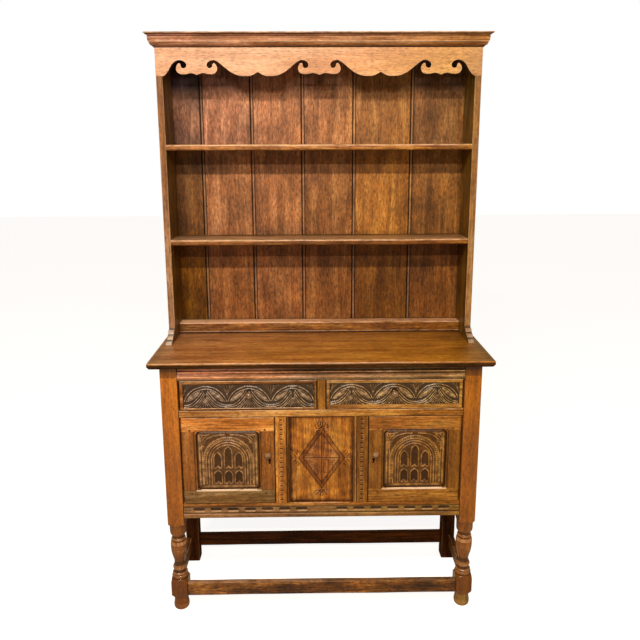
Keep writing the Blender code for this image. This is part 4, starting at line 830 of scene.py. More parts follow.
def make_rails():
    """The top rail's bead stands out of a recess painted dark as shade. The lower edges of the rails lie over dark
    gaps, and their lower arrises are painted dark as shade.
    """
    reach = POST_IN - CLEAR
    honey = finish("honey", "x")
    low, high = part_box("top_rail")
    middle = low.z + 0.003 + 0.010
    outline = [(high.y, low.z), (FACE, low.z), *arc((FACE, middle), (0.007, 0.010), 270, 90, 14)]
    outline += [(FACE + out, middle + up)
                for out, up in ((0.0015, 0.0105), (-0.0020, 0.0120), (-0.0020, 0.0165), (0.006, 0.0185))]
    outline += [(FACE + 0.006, high.z), (high.y, high.z)]
    bm = bar(outline, "x", -reach, reach, 0.0006, cuts=20, uneven=0.0003)
    # Lower arrises painted dark as shade, upper arrises paler.
    mark_faces(bm, lambda middle, normal, wear_and_light: wear_and_light and (-0.8 if normal.z < 0.2 else 0.3))

    def recess(x, y, z):
        """Painted shade above under the worktop, in the quirk, at the foot and on the lower half of the bead;
        painted light on the bead at the left and on the strip over it.
        """
        up = z - middle
        dark = 0.70 * between(up, 0.0165, 0.0185)
        quirk = 0.6 * between(up, 0.0085, 0.0099) * (1 - between(up, 0.0101, 0.0115))
        foot = 0.85 * (1 - between(z, low.z, low.z + 0.0035))
        left = between(-x, 0.05, 0.25)
        below = between(z, low.z + 0.0040, low.z + 0.0045)
        bead_light = 0.05 - 0.50 * (1 - between(up, -0.0025, 0.0)) * below
        below = between(z, low.z + 0.003, low.z + 0.004)
        left_light = left * (0.60 + 0.90 * between(up, -0.0020, 0.0)) * below
        strip_light = (0.25 + 0.40 * left) * between(up, 0.0105, 0.0120)
        dark = np.clip(dark + quirk + foot, 0, 0.9) - (bead_light + left_light) - strip_light
        return -0.04 - dark, 0.24 - dark * 1.18, 2.9 - dark * 3.9

    make("top_rail_moulded", bm, honey, "top_rail", 40, recess)

    low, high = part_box("drawer_rail")
    bm = bar(square(low.y, high.y, low.z, high.z), "x", -reach, reach, 0.0015, cuts=20, uneven=0.0003, seed=2)
    # Upper arrises paler, rubbed and a painted highlight; lower arrises painted dark as shade over the drawers.
    mark_faces(bm, lambda middle, normal, wear_and_light: wear_and_light and (0.7 if normal.z > 0 else -0.95))

    def paler_left(x, y, z):
        left = between(-x, -0.10, 0.10)
        return 0.10 * left - 0.08, 0.17 * left - 0.04, 0.50 * left + 0.10

    make("drawer_rail_bar", bm, honey, "drawer_rail", tone=paler_left)

    low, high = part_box("bottom_rail")
    step = low.z + 0.0385
    outline = [(high.y, low.z), (FACE + 0.009, low.z), (FACE + 0.009, step), (FACE, step), (FACE, high.z)]
    bm = bar([*outline, (high.y, high.z)], "x", -reach, reach, 0.0012, cuts=20, uneven=0.0002, seed=3)
    # Upper arrises paler under the centre panel, rubbed and a painted highlight, and a little darker elsewhere;
    # lower arrises painted dark as shade.
    mark_faces(bm, lambda middle, normal, wear_and_light: wear_and_light and (
        (0.9 if abs(middle.x) < 0.1 else -0.2) if normal.z > 0 else -0.9))

    def shadow(x, y, z):
        """Painted shade under the overhang, and duller wood below the doors."""
        under = 0.75 * (1 - between(z, step - 0.001, step + 0.006))
        right = between(x, 0.1, 0.16)
        dark = under + 0.15 * between(abs(x), 0.1, 0.16) - 0.16 * right
        return -dark * 0.95, -dark - 0.04 * right, -dark * 0.95 - 0.12 * right

    make("bottom_rail_bar", bm, honey, "bottom_rail", tone=shadow)

    low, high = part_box("drawer_divider")
    bm = bar(square(-0.0135, 0.0135, low.y, FRAME_BACK), "z", 0.7200, 0.8194, 0.0014)
    # Its arrises are painted dark as shade in the gaps beside the drawers.
    mark_faces(bm, lambda middle, normal, wear_and_light: wear_and_light and -0.95)
    share = (0.34, 0.50, 0.45)
    make("drawer_divider_post", bm, finish("stile", "z"), "drawer_divider", tone=share)


def gouge():
    """The hollow that one cut of a gouge leaves: round ends, a steep upper side and a lower slope."""
    ends = ((1, 0.02), (0.93, 0.45), (0.8, 0.85), (0.6, 1.0))
    rings = []
    for t, share in [(-t, share) for t, share in ends] + list(reversed(ends)):
        deep = 0.0045 * share
        rings.append([
            (t / 2, -0.002, -0.5 * share), (t / 2, 0.0002, -0.5 * share), (t / 2, deep, -0.3 * share),
            (t / 2, deep * 0.8, 0.3 * share), (t / 2, 0.0002, 0.5 * share), (t / 2, -0.002, 0.5 * share),
        ])
    return loft(rings)


def make_bottom_moulding():
    """A bead under a band of gouged notches."""
    reach = POST_IN - CLEAR
    low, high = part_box("bottom_moulding")
    quirk = low.z + 0.016
    outline = [(high.y, low.z), *arc((FACE, (low.z + quirk) / 2), (0.005, 0.008), 270, 90, 14)]
    outline += [(FACE + 0.002, quirk + 0.001), (FACE, quirk + 0.002), (FACE, high.z), (high.y, high.z)]
    piece = helper(bar(outline, "x", -reach, reach, 0.0006))
    middle = (quirk + high.z - 0.013) / 2 + 0.0075
    places = [(side * (0.066 + i * 0.056), FACE, middle) for side, _ in SIDES for i in range(7)]
    solved(piece, repeated("notches", gouge(), places, 0.040, 0.015, finish("honey", "x")))
    bm = to_bmesh(piece)

    # Painted light on the upward faces of the notches and painted shade on the others; painted shade in the quirk
    # and at the top and the foot.
    def light_and_wear(centre, normal, wear_and_light):
        if centre.y > FACE + 0.0004 and abs(centre.z - middle) < 0.0074 and abs(normal.x) < 0.9:
            return 0.9 if normal.z > 0.3 else -0.85
        if centre.y < FACE + 0.003:
            if abs(centre.z - quirk - 0.001) < 0.0014:
                return -0.7
            if centre.z > high.z - 0.001 or centre.z < low.z + 0.001:
                return -0.8
        return wear_and_light

    def tone(x, y, z):
        # Painted shade in the quirk and under the rail along the top.
        light = 0.22 - 0.10 * between(z, quirk, quirk + 0.003) - 0.35 * between(z, high.z - 0.007, high.z)
        return light - 0.05, light + 0.28, light + 2.3 - 0.7 * between(x, 0.0, 0.4)

    mark_faces(bm, light_and_wear)
    make("bottom_moulding_run", bm, finish("stile", "x"), "bottom_moulding", 40, tone)


def punch():
    """The square hollow of one blow of a punch, 1 across and tapering to its floor."""
    return loft([[(a * share / 2, y, b * share / 2) for a, b in square(-1, 1, -1, 1)]
                 for share, y in ((1.0, -0.001), (0.96, 0.0), (0.7, 0.0016))])


def make_muntins():
    """Two uprights with a scratch moulding along the panel and a punched chain down the middle."""
    honey = finish("honey", "z")
    for side, word in SIDES:
        inner, outer = side * 0.100, side * 0.150
        outline = [(outer, FACE)] + [(inner + side * across, FACE + deep) for across, deep in (
            (0.0135, 0.0), (0.0125, 0.0018), (0.0115, 0.0004), (0.0075, 0.0002), (0.0065, 0.0024),
            (0.0050, 0.0014), (0.0, 0.005),
        )]
        outline += [(inner, FRAME_BACK), (outer, FRAME_BACK)]
        piece = helper(bar(outline, "z", BAY[0] + CLEAR, BAY[1] - CLEAR, 0.0010))
        low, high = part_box(f"lock_bolt_{word}")
        grow = Vector((0.011, CLEAR, CLEAR))
        a, b = low - grow, high + grow
        middle = side * 0.1300
        blows = [(middle, FACE, 0.4085 + i * 0.0163) for i in range(18)]
        bars = [(middle, FACE, z + 0.0081) for _, _, z in blows[:-1]]
        solved(
            piece, helper(block(a.x, b.x, a.y, b.y, a.z, b.z)),
            repeated("blows", punch(), blows, 0.0095, 0.0068, honey),
            repeated("bars", punch(), bars, 0.0105, 0.0022, honey),
        )
        bm = to_bmesh(piece)

        # The punch marks are painted pale on their upward faces and dark as shade on the others; the steep faces
        # of the scratch moulding, the arrises and the edge by the door are painted dark as shade.
        def light_and_wear(centre, normal, wear_and_light):
            across = (centre.x - inner) * side
            if FACE + 0.0001 < centre.y < -0.150 and abs(centre.x - middle) < 0.006:
                return -0.8 if normal.z < 0.5 else 0.5
            if across < 0.0135 and centre.y < FACE + 0.0045:
                steep = normal.x * side < -0.35 or abs(normal.x) > 0.5
                return -0.85 if steep else (-0.3 if side < 0 else 0.15)
            return -0.9 if wear_and_light > 0 or across > 0.0499 else wear_and_light

        def tone(x, y, z):
            """The right one is duller; the moulding by the panel is painted dark as shade on the left one and
            paler on the right one.
            """
            by_panel = 1 - between(abs(x), 0.1125, 0.1135)
            if side > 0:
                return -0.42 + 0.26 * by_panel, -0.44 + 0.18 * by_panel, -0.66 - 0.10 * by_panel
            return 0.19 - 0.53 * by_panel, 0.20 - 0.60 * by_panel, 0.15 - 0.90 * by_panel

        mark_faces(bm, light_and_wear)
        make(f"muntin_{word}_upright", bm, honey, f"muntin_{word}", tone=tone)


# Carving

def ridge(x, z, path, width, height, power=2.0):
    """Height of a rounded ridge along a path, over all points x, z."""
    best = np.full(x.shape, 1.0)
    for (ax, az), (bx, bz) in zip(path, path[1:]):
        dx, dz = bx - ax, bz - az
        t = np.clip(((x - ax) * dx + (z - az) * dz) / max(dx * dx + dz * dz, 1e-12), 0, 1)
        best = np.minimum(best, np.hypot(x - ax - t * dx, z - az - t * dz))
    return height * np.clip(1 - (best / (width / 2)) ** power, 0, 1)


def oval(foot, tip, half, steps=8):
    """A pointed oval between two points."""
    (ax, az), (bx, bz) = foot, tip
    there = [(ax + (bx - ax) * i / steps, az + (bz - az) * i / steps, math.sin(math.pi * i / steps) ** 0.8)
             for i in range(steps + 1)]
    back = [(x, z, -s) for x, z, s in reversed(there)]
    length = math.hypot(bx - ax, bz - az)
    nx, nz = -(bz - az) / length * half, (bx - ax) / length * half
    return [(x + nx * s, z + nz * s) for x, z, s in there + back]


def tooled(x, z, step=0.0036, depth=0.00035):
    """The small dents that a ground of punch marks has."""
    return depth * np.sin(x / step * math.pi) * np.sin(z / step * math.pi)


def relief_mesh(name, x0, x1, z0, z1, heights, ground, back, pitch):
    """A board whose front is carved: heights(x, z) gives how far it stands out of the ground plane."""
    nx = int(round((x1 - x0) / pitch)) + 1
    nz = int(round((z1 - z0) / pitch)) + 1
    x, z = np.meshgrid(np.linspace(x0, x1, nx), np.linspace(z0, z1, nz))
    rise = heights(x, z)
    front = np.stack([x, ground - rise, z], -1).reshape(-1, 3)
    number = np.arange(nx * nz).reshape(nz, nx)
    edge = [*number[0, :-1], *number[:-1, -1], *number[-1, :0:-1], *number[:0:-1, 0]]
    rear = front[edge].copy()
    rear[:, 1] = back
    corners = np.stack([number[:-1, :-1], number[:-1, 1:], number[1:, 1:], number[1:, :-1]], -1)
    total, count = nx * nz, len(edge)
    faces = corners.reshape(-1, 4).tolist()
    faces += [[edge[i], total + i, total + (i + 1) % count, edge[(i + 1) % count]] for i in range(count)]
    faces.append([total + i for i in reversed(range(count))])
    mesh = bpy.data.meshes.new(name)
    mesh.from_pydata(np.concatenate([front, rear]).tolist(), [], faces)
    values = np.concatenate([rise.reshape(-1), np.full(count, REAR_RISE)])
    mesh.attributes.new("rise", "FLOAT", "POINT").data.foreach_set("value", values)
    bm = bmesh.new()
    bm.from_mesh(mesh)
    bmesh.ops.recalc_face_normals(bm, faces=bm.faces)
    bm.to_mesh(mesh)
    bm.free()
    return new_object(name, mesh)


def carved_oak(name, grain, ground, ridge_colour, crest, top, roughness, wax):
    """Carved oak: dark old polish and painted shade in the ground, rubbed and paler on the ridges with a painted
    highlight.

    top is the height in metres at which a ridge is fully pale.
    """
    material = oak(name, grain, ground, ground, ground, crest, roughness=roughness, wax=wax, fleck=0.25)
    tree = material.node_tree
    base = tree.nodes["Principled BSDF"].inputs["Base Color"]
    share = node(tree, "ShaderNodeMapRange", {
        "Value": given(tree, "rise"), "From Min": 0.0, "From Max": top,
    }).outputs[0]
    stops = ((0.25, ground), (0.62, ridge_colour), (0.95, crest))
    ramp = node(tree, "ShaderNodeValToRGB", {0: share}, stops=stops)
    amount = node(tree, "ShaderNodeMapRange", {"Value": share, "From Min": 0.20, "From Max": 0.80}).outputs[0]
    place = node(tree, "ShaderNodeTexCoord").outputs["Object"]
    rub = node(tree, "ShaderNodeTexNoise", {"Vector": place, "Scale": 70.0, "Detail": 3.0}).outputs[0]
    rub = node(tree, "ShaderNodeMapRange", {
        "Value": rub, "From Min": 0.38, "From Max": 0.62, "To Min": 0.35, "To Max": 1.0,
    }).outputs[0]
    old = base.links[0].from_socket
    tree.links.new(mixed(tree, times(tree, amount, rub), old, tinted(tree, ramp.outputs[0])), base)
    return material


def drawer_heights(x0, x1, z0, z1, knob):
    """Three lunettes with double rims over ribbons that meet in the troughs, palmettes and buds."""
    width = (x1 - x0) / 3
    tall = z1 - z0

    def at(points, hump):
        """Points in shares of one lunette's width and of the field's height."""
        return [(x0 + (hump + a) * width, z0 + b * tall) for a, b in points]

    rims = (
        ([(0.015, 0.30), (0.09, 0.56), (0.23, 0.80), (0.41, 0.92), (0.50, 0.93)], 0.0050, 0.0026),
        ([(0.060, 0.28), (0.14, 0.50), (0.26, 0.70), (0.42, 0.81), (0.50, 0.825)], 0.0044, 0.0026),
    )
    ribbons = (
        ([(-0.10, 0.135), (0.00, 0.115), (0.10, 0.135), (0.20, 0.22), (0.29, 0.37), (0.37, 0.55), (0.440, 0.73)],
         0.0044, 0.0027),
        ([(-0.10, 0.060), (0.00, 0.040), (0.12, 0.060), (0.23, 0.14), (0.33, 0.30), (0.41, 0.49), (0.465, 0.66)],
         0.0044, 0.0028),
        ([(0.190, 0.000), (0.28, 0.090), (0.37, 0.26), (0.44, 0.46), (0.480, 0.60)], 0.0040, 0.0026),
    )
    rays = (
        ([(0.470, 0.46), (0.41, 0.24), (0.29, 0.03)], 0.0042, 0.0024),
        ([(0.480, 0.42), (0.445, 0.22), (0.365, 0.03)], 0.0040, 0.0024),
        ([(0.490, 0.40), (0.473, 0.20), (0.435, 0.03)], 0.0038, 0.0024),
    )
    leaves = (
        ([(0.00, 0.98), (0.004, 0.72), (0.00, 0.46)], 0.0042, 0.0020),
        ([(0.07, 0.98), (0.042, 0.80), (0.012, 0.58)], 0.0038, 0.0022),
        ([(0.13, 0.98), (0.083, 0.86), (0.045, 0.72)], 0.0036, 0.0020),
        ([(0.19, 0.98), (0.140, 0.91), (0.100, 0.82)], 0.0034, 0.0018),
    )

    def heights(x, z):
        rise = np.zeros(x.shape)

        def add(points, hump, wide, high):
            nonlocal rise
            rise = np.maximum(rise, ridge(x, z, at(points, hump), wide, high))

        for hump in range(-1, 4):
            for mirrored in (False, True):
                def turned(points):
                    return [(1 - a, b) for a, b in points] if mirrored else points
                for points, wide, high in (*rims, *ribbons, *rays, *leaves):
                    add(turned(flowing(points, 6)), hump, wide, high)
                for foot, tip, half in (
                    ((0.095, 0.29), (0.385, 0.74), 0.050), ((0.135, 0.37), (0.345, 0.68), 0.026),
                    ((0.175, 0.44), (0.300, 0.62), 0.004),
                ):
                    add(turned(oval(foot, tip, half)), hump, 0.0036, 0.0026)
            add([(0.50, 0.40), (0.50, 0.03)], hump, 0.0038, 0.0024)
        rise *= 0.86 + 0.14 * np.sin(x * 190 + np.sin(z * 240)) * np.sin(z * 310 + 2 * np.sin(x * 90))
        rise += tooled(x, z) * (rise < 0.0004)
        rim = np.minimum(np.minimum(x - x0, x1 - x), np.minimum(z - z0, z1 - z))
        rise *= np.clip(rim / 0.0012, 0, 1)
        rise[np.hypot(x - knob[0], z - knob[1]) < 0.0105] = 0.0
        return rise

    return heights


def make_drawer(side, word):
    """The front's margins, and how its board and its carving have grown old, differ from left to right."""
    if side < 0:
        right, below, above, bright, share, gold = 0.007, 0.007, 0.0135, 1.0, (-0.42, -0.43, -0.28), 0.0
    else:
        right, below, above, bright, share, gold = 0.012, 0.0145, 0.011, 0.5, (-0.02, 0.20, 1.2), 0.14
    body = f"drawer_{word}"
    front = f"drawer_front_{word}"
    low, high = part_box(front)
    x0, x1, z0, z1 = low.x + 0.012, high.x - right, low.z + below, high.z - above
    bm = copy_of(front)
    ease_arrises(bm, 0.0016, lambda e: (
        e.calc_length() > 0.05 and all(v.co.y < FACE + 0.0005 for v in e.verts)))
    # The top arris is paler, a painted highlight; the arrises at the sides and below are painted dark as shade in
    # the gaps.
    mark_faces(bm, lambda middle, normal, wear_and_light: wear_and_light and (bright if normal.z > 0.2 else -0.95))
    field = FACE + FIELD_DEPTH
    piece = solved(helper(bm), helper(block(x0, x1, FACE - 0.01, field + 0.0015, z0, z1)))
    make(f"drawer_board_{word}", to_bmesh(piece), finish("honey", "x"), front,
         tone=share, body=body)
    knob = ((x0 + x1) / 2, 0.7752)
    gap = 0.00005
    piece = relief_mesh(
        f"drawer_carving_{word}", x0 + gap, x1 - gap, z0 + gap, z1 - gap,
        drawer_heights(x0, x1, z0, z1, knob), field + 0.0002, field + 0.0014, 0.0010,
    )
    dress(piece, f"drawer_carving_{word}", body, carved_drawer, smooth=80,
          tone=(gold, gold * 0.4, -gold * 0.3))
    make_knob(f"drawer_pull_{word}", f"drawer_knob_{word}", 0.011, (knob[0], field, knob[1]), body)


def make_knob(name, node_name, radius, place, body):
    """A small turned knob with a collar, a neck and a round head smoothed by hands."""
    neck = radius * 0.50
    flange = radius * 0.66
    start = flange * 0.25 + radius * 0.35
    profile = [(flange * 0.9, 0.0003), (flange, 0.0008), (flange, flange * 0.22), (flange * 0.86, flange * 0.30)]
    profile += [(neck * 1.05, flange * 0.42), (neck, start)]
    for i in range(2, 16):
        angle = math.pi * i / 16
        head = max(radius * math.sin(angle), neck * 0.98 if i < 5 else 0)
        profile.append((head, start + radius * 0.95 * (1 - math.cos(angle))))
    profile += [(radius * 0.12, start + radius * 1.885)]
    count = 40
    bm = loft([
        [Vector(place) + Vector((r * math.cos(a), -out, r * math.sin(a))) for a in round_angles(count)]
        for r, out in profile
    ])
    layer = marks_layer(bm)
    for i, face in enumerate(bm.faces):
        row = i // count
        face[layer] = 0.2 if row > 12 else (-0.5 if 3 <= row <= 5 else 0.0)
    make(name, bm, finish("knob", "y"), node_name, 50, body=body)


def panel_heights(x0, x1, z0, z1):
    """A raised field with an arcade in a round arch: three tall lights over three low ones."""
    wide, tall = x1 - x0, z1 - z0
    centre = 0.500
    spring = 0.50
    half = 0.060
    lights = [(middle, *shape) for middle, top in ((0.333, 0.64), (0.500, 0.735), (0.667, 0.64))
              for shape in ((0.375, top - 0.11, top), (0.11, 0.25, 0.325))]

    def at(points):
        return [(x0 + a * wide, z0 + b * tall) for a, b in points]

    def arch(radius, foot, steps=20):
        """A round arch on upright legs, in shares of the field's width."""
        share = radius * wide / tall
        head = [(centre + radius * math.cos(t), spring + share * math.sin(t))
                for t in [math.pi * i / steps for i in range(steps + 1)]]
        return [(centre + radius, foot), *head, (centre - radius, foot)]

    def light(middle, foot, shoulder, head):
        """The ridge round one pointed light."""
        side = flowing([(half, shoulder), (half * 0.8, shoulder + (head - shoulder) * 0.6), (0.0, head)], 4)
        left = [(middle - a, b) for a, b in side]
        right = [(middle + a, b) for a, b in reversed(side)]
        return [(middle - half, foot), *left, *right[1:], (middle + half, foot)]

    def heights(x, z):
        # The field has round corners and slopes down to the groove round it.
        corner = 0.016
        dx = np.maximum(np.abs(x - (x0 + x1) / 2) - (wide / 2 - corner), 0)
        dz = np.maximum(np.abs(z - (z0 + z1) / 2) - (tall / 2 - corner), 0)
        inset_by = corner - np.hypot(dx, dz)
        flat = np.minimum(wide / 2 - np.abs(x - (x0 + x1) / 2), tall / 2 - np.abs(z - (z0 + z1) / 2))
        inset_by = np.where((dx > 0) & (dz > 0), inset_by, flat)
        field = 0.0030 * np.sqrt(np.clip((inset_by - 0.0020) / 0.0042, 0, 1))
        carve = np.zeros(x.shape)

        def add(points, width, high):
            nonlocal carve
            carve = np.maximum(carve, ridge(x, z, at(points), width, high))

        high = 0.0026
        for a, top, width in ((0.052, 0.93, 0.0080), (0.094, 0.80, 0.0040)):
            for upright in (a, 1 - a):
                add([(upright, 0.09), (upright, top)], width, high)
        for radius, width in ((0.392, 0.0056), (0.346, 0.0046), (0.305, 0.0052), (0.264, 0.0044)):
            add(arch(radius, 0.09), width, high)
        a = (x - x0) / wide
        b = (z - z0) / tall
        for middle, foot, shoulder, head in lights:
            narrow = half * (1 - np.clip((b - shoulder) / (head - shoulder), 0, 1) ** 1.6)
            sunk = 0.0014 if head < 0.5 else 0.0008
            field = field - sunk * ((np.abs(a - middle) < narrow) & (b > foot) & (b < head))
            add(light(middle, foot, shoulder, head), 0.0046, high)
            foils = [(middle + a * half * 0.6, foot + b) for a, b in ((-1, -0.005), (0, 0.022), (1, -0.005))]
            add(foils, 0.0070, high)
        for sign in (-1, 1):
            for points in (
                [(0.05, 0.940), (0.18, 0.930), (0.30, 0.89), (0.39, 0.81)],
                [(0.43, 0.94), (0.36, 0.93), (0.28, 0.950)], [(0.42, 0.82), (0.425, 0.87), (0.395, 0.915)],
                [(0.33, 0.91), (0.37, 0.885), (0.40, 0.845)], [(0.385, 0.74), (0.405, 0.765), (0.43, 0.79)],
                [(0.35, 0.83), (0.36, 0.80), (0.385, 0.785)], [(0.42, 0.67), (0.425, 0.71), (0.415, 0.75)],
            ):
                path = flowing([(centre + sign * a, b) for a, b in points], 4)
                add(path, 0.0046, high * 0.9)
        add([(0.08, 0.972), (0.92, 0.972)], 0.0050, high * 0.5)
        add([(0.12, 0.055), (0.90, 0.055)], 0.0110, high * 0.7)
        carve *= 0.85 + 0.15 * np.sin(x * 170 + 2 * np.sin(z * 130)) * np.sin(z * 260 + np.sin(x * 110))
        carve += tooled(x, z) * (carve < 0.0004)
        return field + carve * np.clip((inset_by - 0.0060) / 0.0025, 0, 1)

    return heights


def keyhole(x, z):
    """A round hole over a tapering slot, to the depth of the frame."""
    around = arc((x, z), (0.0044, 0.0044), -60, 240, 14)
    outline = [*around, (x - 0.0030, z - 0.0120), (x + 0.0030, z - 0.0120)]
    return bar(outline, "y", FACE - 0.01, FACE + 0.012, ease=0)


def corner_fillet(x, z, across, up, radius=0.011):
    """The wood left in a corner of the opening, which a round cutter makes."""
    centre = (x + across * radius, z + up * radius)
    start = 180 if across > 0 else 0
    outline = [(x, z), *arc(centre, (radius, radius), start, start + 90 * across * up, 6)]
    return bar(outline, "y", FACE + 0.0006, FACE + 0.0066, ease=0)


def make_door(side, word):
    """Two rails between which the stiles stand, with the carved panel in their middle."""
    body = f"door_{word}"
    name = f"door_frame_{word}"
    low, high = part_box(name)
    edge = 0.0002
    middle = (low.x + high.x) / 2
    near, far = sorted((side * 0.200, side * 0.404))
    sill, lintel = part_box(f"door_panel_{word}")[0].z + 0.0077, 0.6482
    lock_x, lock_z = side * 0.168, 0.5480
    over, below = low.x - 0.01, high.x + 0.01
    members = (
        ("bottom_rail", (over, below, 0.39, sill - edge), 0.48 if side < 0 else 0.18, 0.0),
        ("top_rail", (over, below, lintel + edge, 0.70),
         -0.27 if side < 0 else 0.25, -0.04 if side < 0 else 0.12),
        ("left_stile", (over, middle, sill + edge, lintel - edge), -0.10 if side < 0 else 0.04, 0.0),
        ("right_stile", (middle, below, sill + edge, lintel - edge), -0.10 if side < 0 else 0.04, 0.0),
    )

    def free_arris(e):
        """Long front edges, but not those that meet the next member."""
        a, b = [v.co for v in e.verts]
        joint = min(abs(a.z - sill), abs(a.z - lintel)) < 0.0006 and abs(a.z - b.z) < 1e-5
        within = near - 0.002 < (a.x + b.x) / 2 < far + 0.002
        return e.calc_length() > 0.014 and max(a.y, b.y) < FACE + 0.0002 and (within or not joint)

    for member, (x0, x1, z0, z1), dull, less_green in members:
        rail = "rail" in member
        space = helper(block(x0, x1, -0.2, -0.1, z0, z1))
        piece = solved(helper(copy_of(name)), space, operation="INTERSECT")
        if member == "bottom_rail":
            # A stopped chamfer slopes down out of the opening and catches the light; its faces are also painted
            # pale as a highlight.
            left, right = (0.026, 0.008) if side < 0 else (0.008, 0.026)
            rings = [
                [(x, FACE + out, sill + up)
                 for out, up in ((-0.001, -drop - 0.001), (0.0060, 0.001), (-0.001, 0.001))]
                for x, drop in ((near + left - 0.006, 0.0002), (near + left, 0.0045),
                                (far - right, 0.0045), (far - right + 0.006, 0.0002))
            ]
            solved(piece, helper(loft(rings)))
        if not rail and (side > 0) == (member == "left_stile"):
            solved(piece, helper(keyhole(lock_x, lock_z)))

        def light_and_wear(centre, normal, wear_and_light):
            """Pale over and under the opening, and along the top as a painted highlight; dark at the joints, and
            painted dark as shade in the gaps and the keyhole.
            """
            if member == "bottom_rail" and centre.y > FACE + 0.0005 and normal.y < -0.3 and normal.z > 0.3:
                return 1.8
            if (FACE + 0.0002 < centre.y < FACE + 0.0125 and abs(centre.x - lock_x) < 0.006
                    and 0.53 < centre.z < 0.555):
                return -1.0
            if not wear_and_light:
                return 0.0
            if centre.z > high.z - 0.003:
                return 0.8 if side < 0 else 0.3
            inside = near - 0.002 < centre.x < far + 0.002 and 0.44 < centre.z < 0.66
            return 0.8 if inside else -0.95

        bm = to_bmesh(piece)
        ease_arrises(bm, 0.0012, free_arris)
        mark_faces(bm, light_and_wear)
        if rail:
            up, at = (-1, lintel) if member == "top_rail" else (1, sill)
            for x, across in ((near, 1), (far, -1)):
                fillet = corner_fillet(x, at, across, up)
                mesh = bpy.data.meshes.new("fillet")
                fillet.to_mesh(mesh)
                fillet.free()
                bm.from_mesh(mesh)
        # The left door is bluer, a painted light colour: the light is cooler from the left.
        cool = 0.25 if side < 0 else 0.05
        tone = (-dull, -dull * 0.65 - less_green, cool - dull * 0.1 - 1.5 * less_green)
        wood = finish("honey", "x") if rail else finish("stile", "z")
        replaced = name if member == "top_rail" else ()
        make(f"door_{member}_{word}", bm, wood, replaced, tone=tone, body=body)
    set_pegs(body, f"door_pegs_{word}", [
        (x, FACE + 0.0001, z) for x in (near - 0.018, far + 0.018) for z in (0.4325, 0.6530)
    ])

    low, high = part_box(f"door_panel_{word}")
    x0, x1 = low.x + 0.0077, high.x - 0.0077
    z0, z1 = low.z + 0.0077, high.z - 0.0077
    piece = relief_mesh(
        f"door_carving_{word}", low.x, high.x, low.z, high.z,
        panel_heights(x0, x1, z0, z1), FACE + 0.007, high.y, 0.0011,
    )
    dress(piece, f"door_carving_{word}", body, carved_panel, f"door_panel_{word}", smooth=80,
          tone=(-0.02, -0.04, -0.12) if side < 0 else (-0.03, -0.13, -0.25))
    arch_beads(word, x0, x1, z0, z1)
    make_knob(f"door_pull_{word}", f"door_knob_{word}", 0.0105, (side * 0.1725, FACE, 0.573), body)


def arch_beads(word, x0, x1, z0, z1):
    """Small beads that fill the band between the two outer arches of a door panel."""
    centre = (x0 + x1) / 2
    radius = 0.369 * (x1 - x0)
    spring = z0 + 0.5 * (z1 - z0)
    out = FACE + 0.007 - 0.0034
    places = [(centre + radius * math.cos(a), out, spring + radius * math.sin(a))
              for a in [math.pi * (i + 0.5) / 33 for i in range(33)]]
    places += [(centre + s * radius, out, spring - 0.0064 * (i + 0.5)) for s in (-1, 1) for i in range(11)]
    rings = [[(r * math.cos(a), -y, r * math.sin(a)) for a in round_angles(8)]
             for r, y in ((0.5, 0.0), (0.45, 0.0009), (0.25, 0.0016))]
    piece = repeated(f"arch_beads_{word}", loft(rings), places, 0.0044, 0.0044, carved_panel)
    mesh = piece.data
    mesh.attributes.new("rise", "FLOAT", "POINT").data.foreach_set("value", [0.0050] * len(mesh.vertices))
    dress(piece, f"arch_beads_{word}", f"door_{word}", carved_panel, smooth=60)


